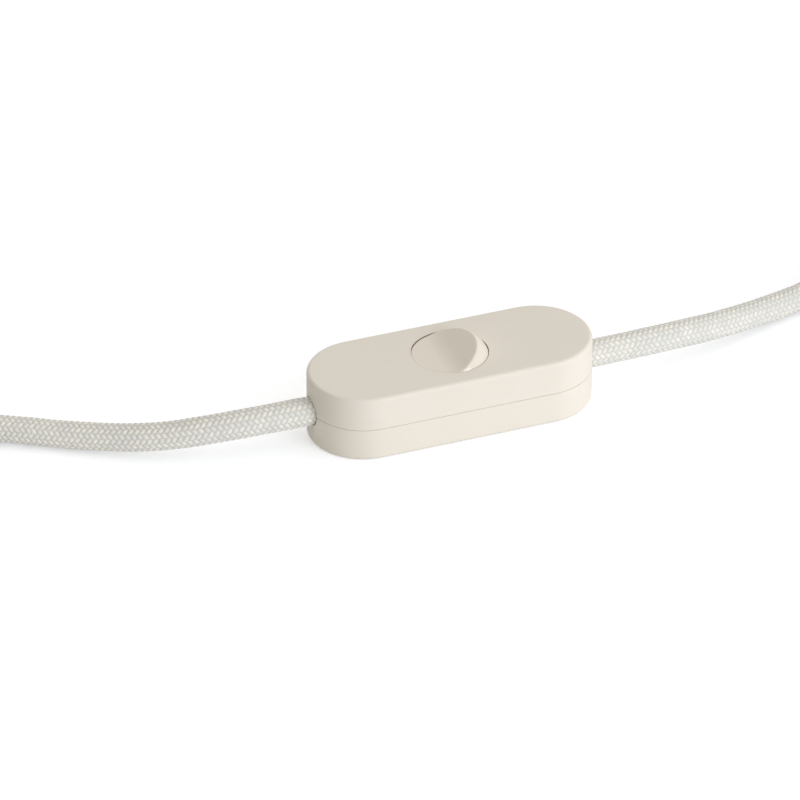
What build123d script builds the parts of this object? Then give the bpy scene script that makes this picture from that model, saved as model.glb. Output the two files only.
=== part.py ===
from build123d import *
import os
from math import cos, pi, radians, sin, sqrt, tan

# Lamp cord set: a braided mains cord with an in-line rocker switch, a flat two-pin plug on the
# left end and a lamp holder on the right end. Sizes are in millimetres. X runs along the switch,
# Z is up and the origin is under the middle of the switch, on the surface it lies on.

os.makedirs("parts", exist_ok=True)

# Switch housing
body_length = 70.0
body_width = 26.7
body_height = 16.7
seam_height = 8.2
side_wall = 1.8
top_wall = 1.8
floor_wall = 1.8
edge_round = 0.9
seam_bevel = 0.16
lip_height = 1.0
lip_root = 1.6
lip_thickness = 0.8
lip_clearance = 0.1
inner_length = body_length - 2 * side_wall
inner_width = body_width - 2 * side_wall
inner_top = body_height - top_wall

# Braided cord
cord_diameter = 6.5
cord_radius = cord_diameter / 2
cord_clearance = 0.05
entry_clearance = 0.3
cord_end_x = 22.0

# Rocker: a ball segment that turns about a pivot under the opening
opening_radius = 9.2
pivot_depth = 5.0
ball_gap = 0.2
rocker_angle = 13.0
scoop_distance = 4.75
scoop_valley_round = 10.0
crest_round = 0.55
cap_underside = 2.6
hub_radius = 3.0
hub_depth = 3.8
trunnion_radius = 1.4
bearing_clearance = 0.05
bearing_thickness = 1.35
bearing_width = 5.6
bearing_drop = 2.1
snap_slot_width = 2.5
trunnion_end_gap = 0.25
rib_width = 2.4
rib_inner_y = 6.0
rib_outer_y = 8.0
pocket_inner_x = 3.6
pocket_outer_x = 6.8
pocket_half_y = 4.5
pocket_roof = 4.2
pivot_height = body_height - pivot_depth
opening_ball = sqrt(opening_radius**2 + pivot_depth**2)
rocker_ball = opening_ball - ball_gap
bearing_inner_y = inner_width / 2 - bearing_thickness
trunnion_reach = inner_width / 2 - trunnion_end_gap

# Sprung plunger in the rocker's hub
plunger_radius = 1.5
plunger_clearance = 0.05
plunger_top = -1.6
plunger_shoulder = -4.4
plunger_tip_radius = 0.9
plunger_tip_centre = -5.2
plunger_pip_radius = 0.65
plunger_pip_height = 1.0
bore_roof = 2.8
spring_wire = 0.34
spring_radius = 1.05
spring_pitch = 1.3

# Rocking contact strip under the plunger
seesaw_height = 4.7
seesaw_angle = 6.0
seesaw_length = 14.0
seesaw_width = 4.0
seesaw_thickness = 0.6
seesaw_end_round = 0.17
seesaw_rise = 0.2
knuckle_radius = 0.8
knuckle_clearance = 0.05
contact_radius = 1.2
contact_height = 0.5
contact_x = 5.8
contact_gap = 0.05
pad_height = 0.6

# Terminals
strip_thickness = 0.8
strip_width = 3.0
terminal_x = 11.5
terminal_y = 6.5
terminal_size = 5.0
terminal_height = 5.5
terminal_round = 0.6
wire_height = 4.6
wire_bore_radius = 1.0
screw_bore_radius = 1.1
saddle_length = 3.2
saddle_width = 4.8
saddle_top = 4.4
link_half_length = 8.0
link_y = -7.5
link_width = 4.0
link_screw_x = 5.5
stop_x = 6.0
stop_length = 1.6
stop_gap = 0.09

# Insulated wires from the cord ends to the terminals
wire_radius = 1.0
wire_spread = 1.5
wire_straight = 3.2
live_wire_run_in = 2.6
neutral_wire_run_in = 3.0
wire_run_in_side = 0.3
wire_run_in_rise = 0.2

# Cord clamps and their posts
clamp_x = 26.0
clamp_length = 4.0
clamp_half_width = 8.0
clamp_seat = 9.2
clamp_top = 13.4
clamp_corner_round = 0.8
clamp_edge_round = 0.5
clamp_post_y = 5.8
clamp_post_radius = 2.0
clamp_hole_radius = 1.0
clamp_pilot_radius = 0.8
cradle_half_width = 3.6
cradle_top = 6.6

# Housing screw towers, on one diagonal
tower_x = 21.3
tower_y = 9.4
tower_radius = 3.0
boss_radius = 2.4
screw_hole_radius = 1.25
screw_pilot_radius = 0.95
screw_pilot_depth = 5.0
head_recess_radius = 2.3
head_recess_depth = 3.2

# Hanks of put-away cord, one past each side
hank_length = 115.0
hank_y = 8.0
hank_base = 0.6
hank_bevel = 1.9
fold_inner = 3 * cord_diameter
fold_outer = fold_inner + cord_diameter
hank_width = 2 * fold_outer + cord_diameter
hank_hole = 2 * fold_inner - cord_diameter
left_fold_x = -142.5
left_layers = 4
right_fold_x = 138.5
right_layers = 2
left_hank_x = left_fold_x + hank_width / 2 - hank_length / 2
right_hank_x = right_fold_x - hank_width / 2 + hank_length / 2
left_hank_top = hank_base + left_layers * cord_diameter
right_hank_top = hank_base + right_layers * cord_diameter
tie_thickness = 0.6
tie_width = 6.0
tie_clearance = 0.02
tie_from_fold = 23.5
tie_bevel = 2.248
bundle_y = (fold_inner + fold_outer) / 2
bundle_width = 2 * cord_diameter

# The loose end that lies on a hank folds back over its near end
tail_radius = 21.0
tail_centre = -5.0
tail_lift = 0.1
tail_start = 16.0
tail_start_drop = 6.5
tail_first_drop = 3.6
tail_second_drop = 1.2
tail_end_rise = 0.04

# Flat two-pin plug, lying on the left hank
plug_turn = 22.0
plug_length = 34.0
plug_width = 35.0
plug_neck_width = 13.4
plug_thickness = 13.7
plug_round = 2.6
plug_edge_round = 1.56
plug_neck_length = 6.12
plug_neck_flare = 1.2
plug_shoulder_length = 18.7
plug_shoulder_inset = 0.9
boot_length = 20.0
boot_base_wall = 2.5
boot_tip_wall = 0.9
boot_slot_width = 1.3
boot_slot_depth = 0.9
boot_slots = 4
boot_clearance = 0.15
boot_base_radius = cord_radius + boot_clearance + boot_base_wall
boot_tip_radius = cord_radius + boot_clearance + boot_tip_wall
tail_free = 6.0
pin_radius = 2.0
pin_length = 19.0
pin_spacing = 18.6
pin_bare = 9.0
pin_core_radius = 1.4
pin_root = 6.0
pin_tip_round = 1.2
sleeve_radius = 1.8

# Lamp holder, lying in the trough of the right hank with its mouth to the right
holder_radius = 19.0
holder_wall = 2.2
holder_body_length = 38.0
holder_cap_length = 14.0
holder_neck_radius = 8.0
cap_rim = 1.0
cap_bulge_x = 4.48
cap_bulge_radius = 14.82
cap_neck_wall = 1.0
cap_hollow_x = 3.0
cap_hollow_step = 1.5
holder_shelf = 6.0
holder_mouth_rim = 2.0
holder_seat_gap = 0.1
holder_edge_round = 1.2
grip_length = 9.0
grip_edge_round = 0.8
grip_flat = 11.4
shell_bore = 13.3
shell_wall = 0.45
shell_clearance = 0.1
shell_length = 21.0
shell_ledge = 0.8
tongue_width = 6.0
tongue_thickness = 0.5
tongue_rise = 3.5
tongue_gap = 0.5
tongue_foot_low = 7.0
tongue_foot_high = 4.5
tongue_bend = 0.5
tongue_tip = 2.5
tongue_bend_inner = 0.7
tongue_foot_inner = 4.2
lug_width = 4.0
lug_length = 7.0
lug_y = 9.0
tail_s_radius = 34.0
right_turn = 44.8
cord_stop = 3.0
grip_cord_point = 2.7
holder_line_offset = 0.03
cord_stop_drop = 0.02


def corner_radii(points):
    """The largest arc that each corner of a cord's route has room for."""
    radii = []
    for before, corner, after in zip(points, points[1:], points[2:]):
        run_in = Vector(*corner) - Vector(*before)
        run_out = Vector(*after) - Vector(*corner)
        half_turn = radians(run_in.get_angle(run_out)) / 2
        radii.append(0.45 * min(run_in.length, run_out.length) / tan(half_turn))
    return radii


def report_tube(name, tube, line, points):
    """Prints a tube's arcs, and its volume against its section times its length."""
    length = sum(edge.length for edge in line.edges())
    share = tube.volume / (pi * cord_radius**2 * length)
    arcs = [round(radius, 1) for radius in corner_radii(points)]
    print(name, "arcs", arcs, "length", round(length, 1), "share", round(share, 3))


# Routes of the free cord, from inside the housing to each hank
left_route = [
    (-cord_end_x, 0.0, seam_height),
    (-39.0, 0.0, seam_height),
    (-55.0, 1.5, 7.4),
    (-71.0, 6.1, 4.9),
    (-87.0, 15.1, 3.4),
    (-103.0, 25.0, 3.3),
    (-118.5, 31.6, 3.5),
    (-134.0, 33.5, 3.85),
    (-147.0, 33.3, 3.85),
]
right_route = [
    (cord_end_x, 0.0, seam_height),
    (39.0, 0.0, seam_height),
    (55.0, 1.3, 7.6),
    (71.0, 4.8, 5.6),
    (86.0, 9.75, 3.8),
    (99.0, 13.6, 3.4),
    (109.0, 21.0, 3.5),
    (118.0, 28.5, 3.7),
    (130.0, 32.5, 3.85),
    (142.0, 33.2, 3.85),
]

# Loose end of the left cord: round the near end of the hank, then straight to the plug
left_tail_top = left_hank_top + cord_radius + tail_lift
plug_axis_z = left_hank_top + plug_thickness / 2
left_tail_steps = 7
left_tail_step = (180 + plug_turn) / left_tail_steps
left_tail_out = tail_radius / cos(radians(left_tail_step / 2))
left_tail_z = [
    left_tail_top - tail_first_drop,
    left_tail_top - tail_second_drop,
    left_tail_top,
    left_tail_top + 0.1,
    left_tail_top + 0.5,
    left_tail_top + 1.6,
    left_tail_top + 2.8,
]
left_tail = [(left_fold_x - tail_start, hank_y - fold_outer, left_tail_top - tail_start_drop)]
for step in range(left_tail_steps):
    tail_angle = radians(-90 + (step + 0.5) * left_tail_step)
    tail_x = left_fold_x + left_tail_out * cos(tail_angle)
    tail_y = hank_y + tail_centre + left_tail_out * sin(tail_angle)
    left_tail.append((tail_x, tail_y, left_tail_z[step]))
plug_way = Vector(-cos(radians(plug_turn)), -sin(radians(plug_turn)), 0.0)
tail_leaves = Vector(
    left_fold_x - tail_radius * sin(radians(plug_turn)),
    hank_y + tail_centre + tail_radius * cos(radians(plug_turn)),
    plug_axis_z,
)
boot_start = tail_leaves + plug_way * tail_free
plug_start = boot_start + plug_way * boot_length
left_tail.append(tuple(boot_start))
left_tail.append(tuple(boot_start + plug_way * (boot_length / 2) + Vector(0, 0, tail_end_rise)))
left_tail.append(tuple(plug_start + Vector(0, 0, tail_end_rise)))

# Loose end of the right cord: round the near end, then back to the middle of the trough
right_tail_top = right_hank_top + cord_radius + tail_lift
holder_z = right_hank_top + holder_seat_gap + holder_radius
tail_climb = holder_z - right_tail_top
right_tail_steps = 8
right_tail_step = (180 + right_turn) / right_tail_steps
right_tail_out = tail_radius / cos(radians(right_tail_step / 2))
right_tail_z = [
    right_tail_top - tail_first_drop,
    right_tail_top - tail_second_drop,
    right_tail_top,
    right_tail_top + 0.06 * tail_climb,
    right_tail_top + 0.18 * tail_climb,
    right_tail_top + 0.34 * tail_climb,
    right_tail_top + 0.53 * tail_climb,
    right_tail_top + 0.72 * tail_climb,
]
right_tail = [(right_fold_x + tail_start, hank_y - fold_outer, right_tail_top - tail_start_drop)]
for step in range(right_tail_steps):
    tail_angle = radians(-90 + (step + 0.5) * right_tail_step)
    tail_x = right_fold_x - right_tail_out * cos(tail_angle)
    tail_y = hank_y + tail_centre + right_tail_out * sin(tail_angle)
    right_tail.append((tail_x, tail_y, right_tail_z[step]))
bend_half = tail_s_radius * tan(radians(right_turn / 4))
turn_sin = sin(radians(right_turn))
turn_cos = cos(radians(right_turn))
bend_x = right_fold_x + tail_radius * turn_sin + bend_half * turn_cos
bend_y = hank_y + tail_centre + tail_radius * turn_cos - bend_half * turn_sin
right_tail.append((bend_x, bend_y, holder_z - 0.1 * tail_climb))
holder_line_x = bend_x + 2 * bend_half * cos(radians(right_turn / 2))
right_tail.append((holder_line_x, hank_y + holder_line_offset, holder_z))
grip_x = holder_line_x + bend_half
cap_x = grip_x + grip_length
holder_x = cap_x + holder_cap_length
mouth_x = holder_x + holder_body_length
cord_stop_x = cap_x + cord_stop
right_tail.append((grip_x + grip_cord_point, hank_y, holder_z))
right_tail.append((cord_stop_x, hank_y, holder_z - cord_stop_drop))

# Upper shell: a stadium-shaped lid with the ball-shaped opening and the rocker's bearings
with BuildPart() as upper_shell:
    with BuildSketch(Plane.XY.offset(seam_height)):
        SlotOverall(body_length, body_width)
    extrude(amount=body_height - seam_height)
    fillet(upper_shell.faces().sort_by(Axis.Z)[-1].edges(), edge_round)
    chamfer(upper_shell.faces().sort_by(Axis.Z)[0].edges(), seam_bevel)
    with BuildSketch(Plane.XY.offset(seam_height)):
        SlotOverall(inner_length, inner_width)
    extrude(amount=inner_top - seam_height, mode=Mode.SUBTRACT)
    with Locations((0, 0, pivot_height)):
        Sphere(opening_ball, mode=Mode.SUBTRACT)
    with BuildSketch(Plane.XY.offset(inner_top)):
        with Locations(
            (0, bearing_inner_y + side_wall / 2),
            (0, -bearing_inner_y - side_wall / 2),
        ):
            Rectangle(bearing_width, side_wall)
    extrude(amount=-(inner_top - pivot_height + bearing_drop))
    with BuildSketch(Plane.XZ):
        with Locations((0, pivot_height)):
            Circle(trunnion_radius + bearing_clearance)
        with Locations((0, pivot_height - bearing_drop)):
            Rectangle(snap_slot_width, 2 * bearing_drop)
    extrude(amount=inner_width / 2, both=True, mode=Mode.SUBTRACT)
    with BuildSketch(Plane.XY.offset(seam_height)):
        with Locations((-tower_x, tower_y), (tower_x, -tower_y)):
            Circle(boss_radius)
    extrude(amount=inner_top - seam_height)
    with BuildSketch(Plane.XY.offset(seam_height)):
        with Locations((-tower_x, tower_y), (tower_x, -tower_y)):
            Circle(screw_pilot_radius)
    extrude(amount=screw_pilot_depth, mode=Mode.SUBTRACT)
    with BuildSketch(Plane.YZ.offset(-body_length / 2)):
        with Locations((0, seam_height)):
            Circle(cord_radius + entry_clearance)
    extrude(amount=3 * side_wall, mode=Mode.SUBTRACT)
    with BuildSketch(Plane.YZ.offset(body_length / 2)):
        with Locations((0, seam_height)):
            Circle(cord_radius + entry_clearance)
    extrude(amount=-3 * side_wall, mode=Mode.SUBTRACT)
upper_shell.part.label = "upper_shell"
export_step(upper_shell.part, "parts/upper_shell.step")

# Lower shell: a tray with a locating lip, screw towers, clamp posts, cord cradles and contact stop
stop_top = (
    seesaw_height
    + seesaw_rise * cos(radians(seesaw_angle))
    - (stop_x + stop_length / 2) * sin(radians(seesaw_angle))
    - stop_gap
)
with BuildPart() as lower_shell:
    with BuildSketch(Plane.XY):
        SlotOverall(body_length, body_width)
    extrude(amount=seam_height)
    fillet(lower_shell.faces().sort_by(Axis.Z)[0].edges(), edge_round)
    with BuildSketch(Plane.XY.offset(floor_wall)):
        SlotOverall(inner_length, inner_width)
    extrude(amount=seam_height - floor_wall, mode=Mode.SUBTRACT)
    with BuildSketch(Plane.XY.offset(seam_height - lip_root)):
        SlotOverall(inner_length, inner_width)
        SlotOverall(
            inner_length - 2 * lip_thickness - 2 * lip_clearance,
            inner_width - 2 * lip_thickness - 2 * lip_clearance,
            mode=Mode.SUBTRACT,
        )
    extrude(amount=lip_root)
    with BuildSketch(Plane.XY.offset(seam_height)):
        SlotOverall(inner_length - 2 * lip_clearance, inner_width - 2 * lip_clearance)
        SlotOverall(
            inner_length - 2 * lip_thickness - 2 * lip_clearance,
            inner_width - 2 * lip_thickness - 2 * lip_clearance,
            mode=Mode.SUBTRACT,
        )
        with Locations((-tower_x, tower_y), (tower_x, -tower_y)):
            Circle(tower_radius + lip_clearance, mode=Mode.SUBTRACT)
        with Locations((0, bearing_inner_y), (0, -bearing_inner_y)):
            Rectangle(bearing_width + 4 * lip_clearance, 4 * lip_thickness, mode=Mode.SUBTRACT)
    extrude(amount=lip_height)
    with BuildSketch(Plane.XY.offset(floor_wall)):
        with Locations((-tower_x, tower_y), (tower_x, -tower_y)):
            Circle(tower_radius)
    extrude(amount=seam_height - floor_wall)
    with BuildSketch(Plane.XY.offset(floor_wall)):
        with GridLocations(2 * clamp_x, 2 * clamp_post_y, 2, 2):
            Circle(clamp_post_radius)
    extrude(amount=clamp_seat - floor_wall)
    with BuildSketch(Plane.XY.offset(clamp_seat)):
        with GridLocations(2 * clamp_x, 2 * clamp_post_y, 2, 2):
            Circle(clamp_pilot_radius)
    extrude(amount=-(clamp_seat - 2 * floor_wall), mode=Mode.SUBTRACT)
    with BuildSketch(Plane.XY.offset(floor_wall)):
        with Locations((-clamp_x, 0), (clamp_x, 0)):
            Rectangle(clamp_length, 2 * cradle_half_width)
    extrude(amount=cradle_top - floor_wall)
    with BuildSketch(Plane.XY.offset(floor_wall)):
        with Locations((stop_x, 0)):
            Rectangle(stop_length, seesaw_width)
    extrude(amount=stop_top - floor_wall)
    with BuildSketch(Plane.YZ.offset(-body_length / 2)):
        with Locations((0, seam_height)):
            Circle(cord_radius + entry_clearance)
    extrude(amount=3 * side_wall, mode=Mode.SUBTRACT)
    with BuildSketch(Plane.YZ.offset(body_length / 2)):
        with Locations((0, seam_height)):
            Circle(cord_radius + entry_clearance)
    extrude(amount=-3 * side_wall, mode=Mode.SUBTRACT)
    with BuildSketch(Plane.YZ):
        with Locations((0, seam_height)):
            Circle(cord_radius + cord_clearance)
    extrude(amount=clamp_x + clamp_length, both=True, mode=Mode.SUBTRACT)
    with BuildSketch(Plane.XY):
        with Locations((-tower_x, tower_y), (tower_x, -tower_y)):
            Circle(head_recess_radius)
    extrude(amount=head_recess_depth, mode=Mode.SUBTRACT)
    with BuildSketch(Plane.XY):
        with Locations((-tower_x, tower_y), (tower_x, -tower_y)):
            Circle(screw_hole_radius)
    extrude(amount=seam_height, mode=Mode.SUBTRACT)
lower_shell.part.label = "lower_shell"
export_step(lower_shell.part, "parts/lower_shell.step")

# Rocker, modelled level about its own pivot and then tipped to the left
rocker_rest = Location((0, 0, pivot_height), (0, -rocker_angle, 0))
scoop_low = scoop_distance / cos(radians(rocker_angle))
scoop_reach = 1.5 * rocker_ball
scoop_edge = scoop_low + scoop_reach * tan(radians(rocker_angle))
with BuildPart() as rocker_level:
    Sphere(rocker_ball, rotation=(90, 0, 0))
    with Locations((0, 0, cap_underside)):
        Box(
            3 * rocker_ball,
            3 * rocker_ball,
            3 * rocker_ball,
            align=(Align.CENTER, Align.CENTER, Align.MAX),
            mode=Mode.SUBTRACT,
        )
    with BuildSketch(Plane.XZ) as scoop:
        with BuildLine():
            Polyline(
                (0, scoop_low),
                (scoop_reach, scoop_edge),
                (scoop_reach, 2 * rocker_ball),
                (-scoop_reach, 2 * rocker_ball),
                (-scoop_reach, scoop_edge),
                close=True,
            )
        make_face()
        fillet(scoop.vertices().sort_by(Axis.Y)[0], scoop_valley_round)
    extrude(amount=1.5 * rocker_ball, both=True, mode=Mode.SUBTRACT)
    above = rocker_level.edges().filter_by(lambda edge: edge.center().Z > cap_underside + 0.3)
    curved = above.filter_by(GeomType.LINE, reverse=True)
    crest_arcs = curved.filter_by(lambda edge: edge.bounding_box().size.Y > 0.1)
    fillet(crest_arcs, crest_round)
    with BuildSketch(Plane.XY.offset(cap_underside)):
        with Locations(
            ((pocket_inner_x + pocket_outer_x) / 2, 0),
            (-(pocket_inner_x + pocket_outer_x) / 2, 0),
        ):
            Rectangle(pocket_outer_x - pocket_inner_x, 2 * pocket_half_y)
    extrude(amount=pocket_roof - cap_underside, mode=Mode.SUBTRACT)
    with BuildSketch(Plane.XY.offset(cap_underside)):
        with Locations(
            (0, (rib_inner_y + rib_outer_y) / 2),
            (0, -(rib_inner_y + rib_outer_y) / 2),
        ):
            Rectangle(rib_width, rib_outer_y - rib_inner_y)
        Circle(hub_radius)
    extrude(amount=-cap_underside)
    with BuildSketch(Plane.XY):
        Circle(hub_radius)
    extrude(amount=-hub_depth)
    with BuildSketch(Plane.XZ):
        Circle(trunnion_radius)
    extrude(amount=trunnion_reach, both=True)
    with BuildSketch(Plane.XY.offset(-hub_depth)):
        Circle(plunger_radius + plunger_clearance)
    extrude(amount=hub_depth + bore_roof, mode=Mode.SUBTRACT)
rocker = rocker_level.part.moved(rocker_rest)
rocker.label = "rocker"
export_step(rocker, "parts/rocker.step")

# Plunger: a pin with a round tip and a pip that centres the spring
with BuildPart() as plunger_level:
    with BuildSketch(Plane.XZ):
        with BuildLine():
            Polyline(
                (0, plunger_tip_centre - plunger_tip_radius),
                (0, plunger_top + plunger_pip_height),
                (plunger_pip_radius, plunger_top + plunger_pip_height),
                (plunger_pip_radius, plunger_top),
                (plunger_radius, plunger_top),
                (plunger_radius, plunger_shoulder),
                (plunger_tip_radius, plunger_tip_centre),
            )
            RadiusArc(
                (plunger_tip_radius, plunger_tip_centre),
                (0, plunger_tip_centre - plunger_tip_radius),
                plunger_tip_radius,
            )
        make_face()
    revolve(axis=Axis.Z)
plunger = plunger_level.part.moved(rocker_rest)
plunger.label = "plunger"
export_step(plunger, "parts/plunger.step")

# Plunger spring, between the roof of the hub's bore and the plunger's shoulder
spring_height = bore_roof - plunger_top - spring_wire - 2 * plunger_clearance
with BuildPart() as spring_level:
    with BuildLine() as spring_line:
        Helix(
            spring_pitch,
            spring_height,
            spring_radius,
            center=(0, 0, plunger_top + spring_wire / 2 + plunger_clearance),
        )
    with BuildSketch(Plane(spring_line.line @ 0, z_dir=spring_line.line % 0)):
        Circle(spring_wire / 2)
    sweep()
plunger_spring = spring_level.part.moved(rocker_rest)
plunger_spring.label = "plunger_spring"
export_step(plunger_spring, "parts/plunger_spring.step")

# Contact seesaw: a brass strip with a round knuckle under its middle
seesaw_rest = Location((0, 0, seesaw_height), (0, seesaw_angle, 0))
with BuildPart() as seesaw_level:
    with BuildSketch(Plane.XZ):
        with Locations((0, seesaw_rise + seesaw_thickness / 2)):
            RectangleRounded(seesaw_length, seesaw_thickness, seesaw_end_round)
        Circle(knuckle_radius)
    extrude(amount=seesaw_width / 2, both=True)
seesaw = seesaw_level.part.moved(seesaw_rest)
seesaw.label = "seesaw"
export_step(seesaw, "parts/seesaw.step")

with BuildPart() as moving_contact_level:
    with BuildSketch(Plane.XY.offset(seesaw_rise)):
        with Locations((-contact_x, 0)):
            Circle(contact_radius)
    extrude(amount=-contact_height)
moving_contact = moving_contact_level.part.moved(seesaw_rest)
moving_contact.label = "moving_contact"
export_step(moving_contact, "parts/moving_contact.step")

# Common terminal: a saddle under the seesaw, a strip and a screw block on the right
with BuildPart() as common_terminal:
    with BuildSketch(Plane.XY.offset(floor_wall)):
        Rectangle(saddle_length, saddle_width)
    extrude(amount=saddle_top - floor_wall)
    with BuildSketch(Plane.XY.offset(floor_wall)):
        with Locations((0, terminal_y / 2)):
            Rectangle(saddle_length, terminal_y + strip_width)
        with Locations((terminal_x / 2, terminal_y)):
            Rectangle(terminal_x + saddle_length, strip_width)
    extrude(amount=strip_thickness)
    with BuildSketch(Plane.XY.offset(floor_wall)):
        with Locations((terminal_x, terminal_y)):
            RectangleRounded(terminal_size, terminal_size, terminal_round)
    extrude(amount=terminal_height)
    with BuildSketch(Plane.XZ):
        with Locations((0, seesaw_height)):
            Circle(knuckle_radius + knuckle_clearance)
    extrude(amount=saddle_width, both=True, mode=Mode.SUBTRACT)
    with BuildSketch(Plane.YZ.offset(terminal_x)):
        with Locations((terminal_y, wire_height)):
            Circle(wire_bore_radius)
    extrude(amount=terminal_size, both=True, mode=Mode.SUBTRACT)
    with BuildSketch(Plane.XY.offset(floor_wall + terminal_height)):
        with Locations((terminal_x, terminal_y)):
            Circle(screw_bore_radius)
    extrude(amount=-(floor_wall + terminal_height - wire_height), mode=Mode.SUBTRACT)
common_terminal.part.label = "common_terminal"
export_step(common_terminal.part, "parts/common_terminal.step")

# Fixed contact: a pad that meets the seesaw's contact when the right side is pressed
closed_plane = Plane(Location((0, 0, seesaw_height), (0, -seesaw_angle, 0)))
pad_top = seesaw_rise - contact_height - contact_gap
pad_foot = seesaw_height - contact_x * sin(radians(seesaw_angle)) + pad_top - pad_height / 2
with BuildPart() as fixed_contact:
    with BuildSketch(closed_plane.offset(pad_top)):
        with Locations((-contact_x, 0)):
            Circle(contact_radius)
    extrude(amount=-pad_height)
    with BuildSketch(Plane.XY.offset(floor_wall)):
        with Locations((-contact_x, 0)):
            Rectangle(2 * contact_radius, 2 * contact_radius)
    extrude(amount=pad_foot - floor_wall)
    with BuildSketch(Plane.XY.offset(floor_wall)):
        with Locations((-contact_x, terminal_y / 2)):
            Rectangle(2 * contact_radius, terminal_y + strip_width)
        with Locations((-(terminal_x + contact_x) / 2, terminal_y)):
            Rectangle(terminal_x - contact_x + 2 * contact_radius, strip_width)
    extrude(amount=strip_thickness)
    with BuildSketch(Plane.XY.offset(floor_wall)):
        with Locations((-terminal_x, terminal_y)):
            RectangleRounded(terminal_size, terminal_size, terminal_round)
    extrude(amount=terminal_height)
    with BuildSketch(Plane.YZ.offset(-terminal_x)):
        with Locations((terminal_y, wire_height)):
            Circle(wire_bore_radius)
    extrude(amount=terminal_size, both=True, mode=Mode.SUBTRACT)
    with BuildSketch(Plane.XY.offset(floor_wall + terminal_height)):
        with Locations((-terminal_x, terminal_y)):
            Circle(screw_bore_radius)
    extrude(amount=-(floor_wall + terminal_height - wire_height), mode=Mode.SUBTRACT)
fixed_contact.part.label = "fixed_contact"
export_step(fixed_contact.part, "parts/fixed_contact.step")

# Neutral link: a brass bar with a wire bore at each end
with BuildPart() as neutral_link:
    with BuildSketch(Plane.XY.offset(floor_wall)):
        with Locations((0, link_y)):
            RectangleRounded(2 * link_half_length, link_width, terminal_round)
    extrude(amount=terminal_height)
    with BuildSketch(Plane.YZ):
        with Locations((link_y, wire_height)):
            Circle(wire_bore_radius)
    extrude(amount=link_half_length, both=True, mode=Mode.SUBTRACT)
    with BuildSketch(Plane.XY.offset(floor_wall + terminal_height)):
        with Locations((-link_screw_x, link_y), (link_screw_x, link_y)):
            Circle(screw_bore_radius)
    extrude(amount=-(floor_wall + terminal_height - wire_height), mode=Mode.SUBTRACT)
neutral_link.part.label = "neutral_link"
export_step(neutral_link.part, "parts/neutral_link.step")

# Wires from the cord ends to the screw blocks
terminal_face = terminal_x + terminal_size / 2
wire_routes = {
    "live_wire_left": [
        (-cord_end_x, wire_spread, seam_height),
        (-cord_end_x + wire_straight, wire_spread, seam_height),
        (-terminal_face - live_wire_run_in, terminal_y - wire_run_in_side, wire_height + wire_run_in_rise),
        (-terminal_face, terminal_y, wire_height),
    ],
    "live_wire_right": [
        (cord_end_x, wire_spread, seam_height),
        (cord_end_x - wire_straight, wire_spread, seam_height),
        (terminal_face + live_wire_run_in, terminal_y - wire_run_in_side, wire_height + wire_run_in_rise),
        (terminal_face, terminal_y, wire_height),
    ],
    "neutral_wire_left": [
        (-cord_end_x, -wire_spread, seam_height),
        (-cord_end_x + wire_straight, -wire_spread, seam_height),
        (-link_half_length - neutral_wire_run_in, link_y + wire_run_in_side, wire_height + wire_run_in_rise),
        (-link_half_length, link_y, wire_height),
    ],
    "neutral_wire_right": [
        (cord_end_x, -wire_spread, seam_height),
        (cord_end_x - wire_straight, -wire_spread, seam_height),
        (link_half_length + neutral_wire_run_in, link_y + wire_run_in_side, wire_height + wire_run_in_rise),
        (link_half_length, link_y, wire_height),
    ],
}
for wire_name, wire_route in wire_routes.items():
    with BuildPart() as wire:
        with BuildLine() as wire_line:
            FilletPolyline(*wire_route, radius=corner_radii(wire_route))
        with BuildSketch(Plane(wire_line.line @ 0, z_dir=wire_line.line % 0)):
            Circle(wire_radius)
        sweep()
    wire.part.label = wire_name
    export_step(wire.part, "parts/" + wire_name + ".step")

# Cord clamps: a bar over each cord, seated on its two posts
for clamp_name, clamp_place in (("left_clamp", -clamp_x), ("right_clamp", clamp_x)):
    with BuildPart() as clamp:
        with BuildSketch(Plane.XY.offset(clamp_seat)):
            with Locations((clamp_place, 0)):
                RectangleRounded(clamp_length, 2 * clamp_half_width, clamp_corner_round)
        extrude(amount=clamp_top - clamp_seat)
        fillet(clamp.faces().sort_by(Axis.Z)[-1].edges(), clamp_edge_round)
        with BuildSketch(Plane.YZ.offset(clamp_place)):
            with Locations((0, seam_height)):
                Circle(cord_radius + cord_clearance)
        extrude(amount=clamp_length, both=True, mode=Mode.SUBTRACT)
        with BuildSketch(Plane.XY.offset(clamp_seat)):
            with Locations((clamp_place, clamp_post_y), (clamp_place, -clamp_post_y)):
                Circle(clamp_hole_radius)
        extrude(amount=clamp_top - clamp_seat, mode=Mode.SUBTRACT)
    clamp.part.label = clamp_name
    export_step(clamp.part, "parts/" + clamp_name + ".step")

# Hanks: the outer shape of the folded cord, a stadium ring with bevelled edges
with BuildPart() as left_hank:
    with BuildSketch(Plane.XY.offset(hank_base)):
        with Locations((left_hank_x, hank_y)):
            SlotOverall(hank_length, hank_width)
            SlotOverall(hank_length - 4 * cord_diameter, hank_hole, mode=Mode.SUBTRACT)
    extrude(amount=left_hank_top - hank_base)
    chamfer(left_hank.edges().filter_by(Plane.XY), hank_bevel)
left_hank.part.label = "left_hank"
export_step(left_hank.part, "parts/left_hank.step")

with BuildPart() as right_hank:
    with BuildSketch(Plane.XY.offset(hank_base)):
        with Locations((right_hank_x, hank_y)):
            SlotOverall(hank_length, hank_width)
            SlotOverall(hank_length - 4 * cord_diameter, hank_hole, mode=Mode.SUBTRACT)
    extrude(amount=right_hank_top - hank_base)
    chamfer(right_hank.edges().filter_by(Plane.XY), hank_bevel)
right_hank.part.label = "right_hank"
export_step(right_hank.part, "parts/right_hank.step")

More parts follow.
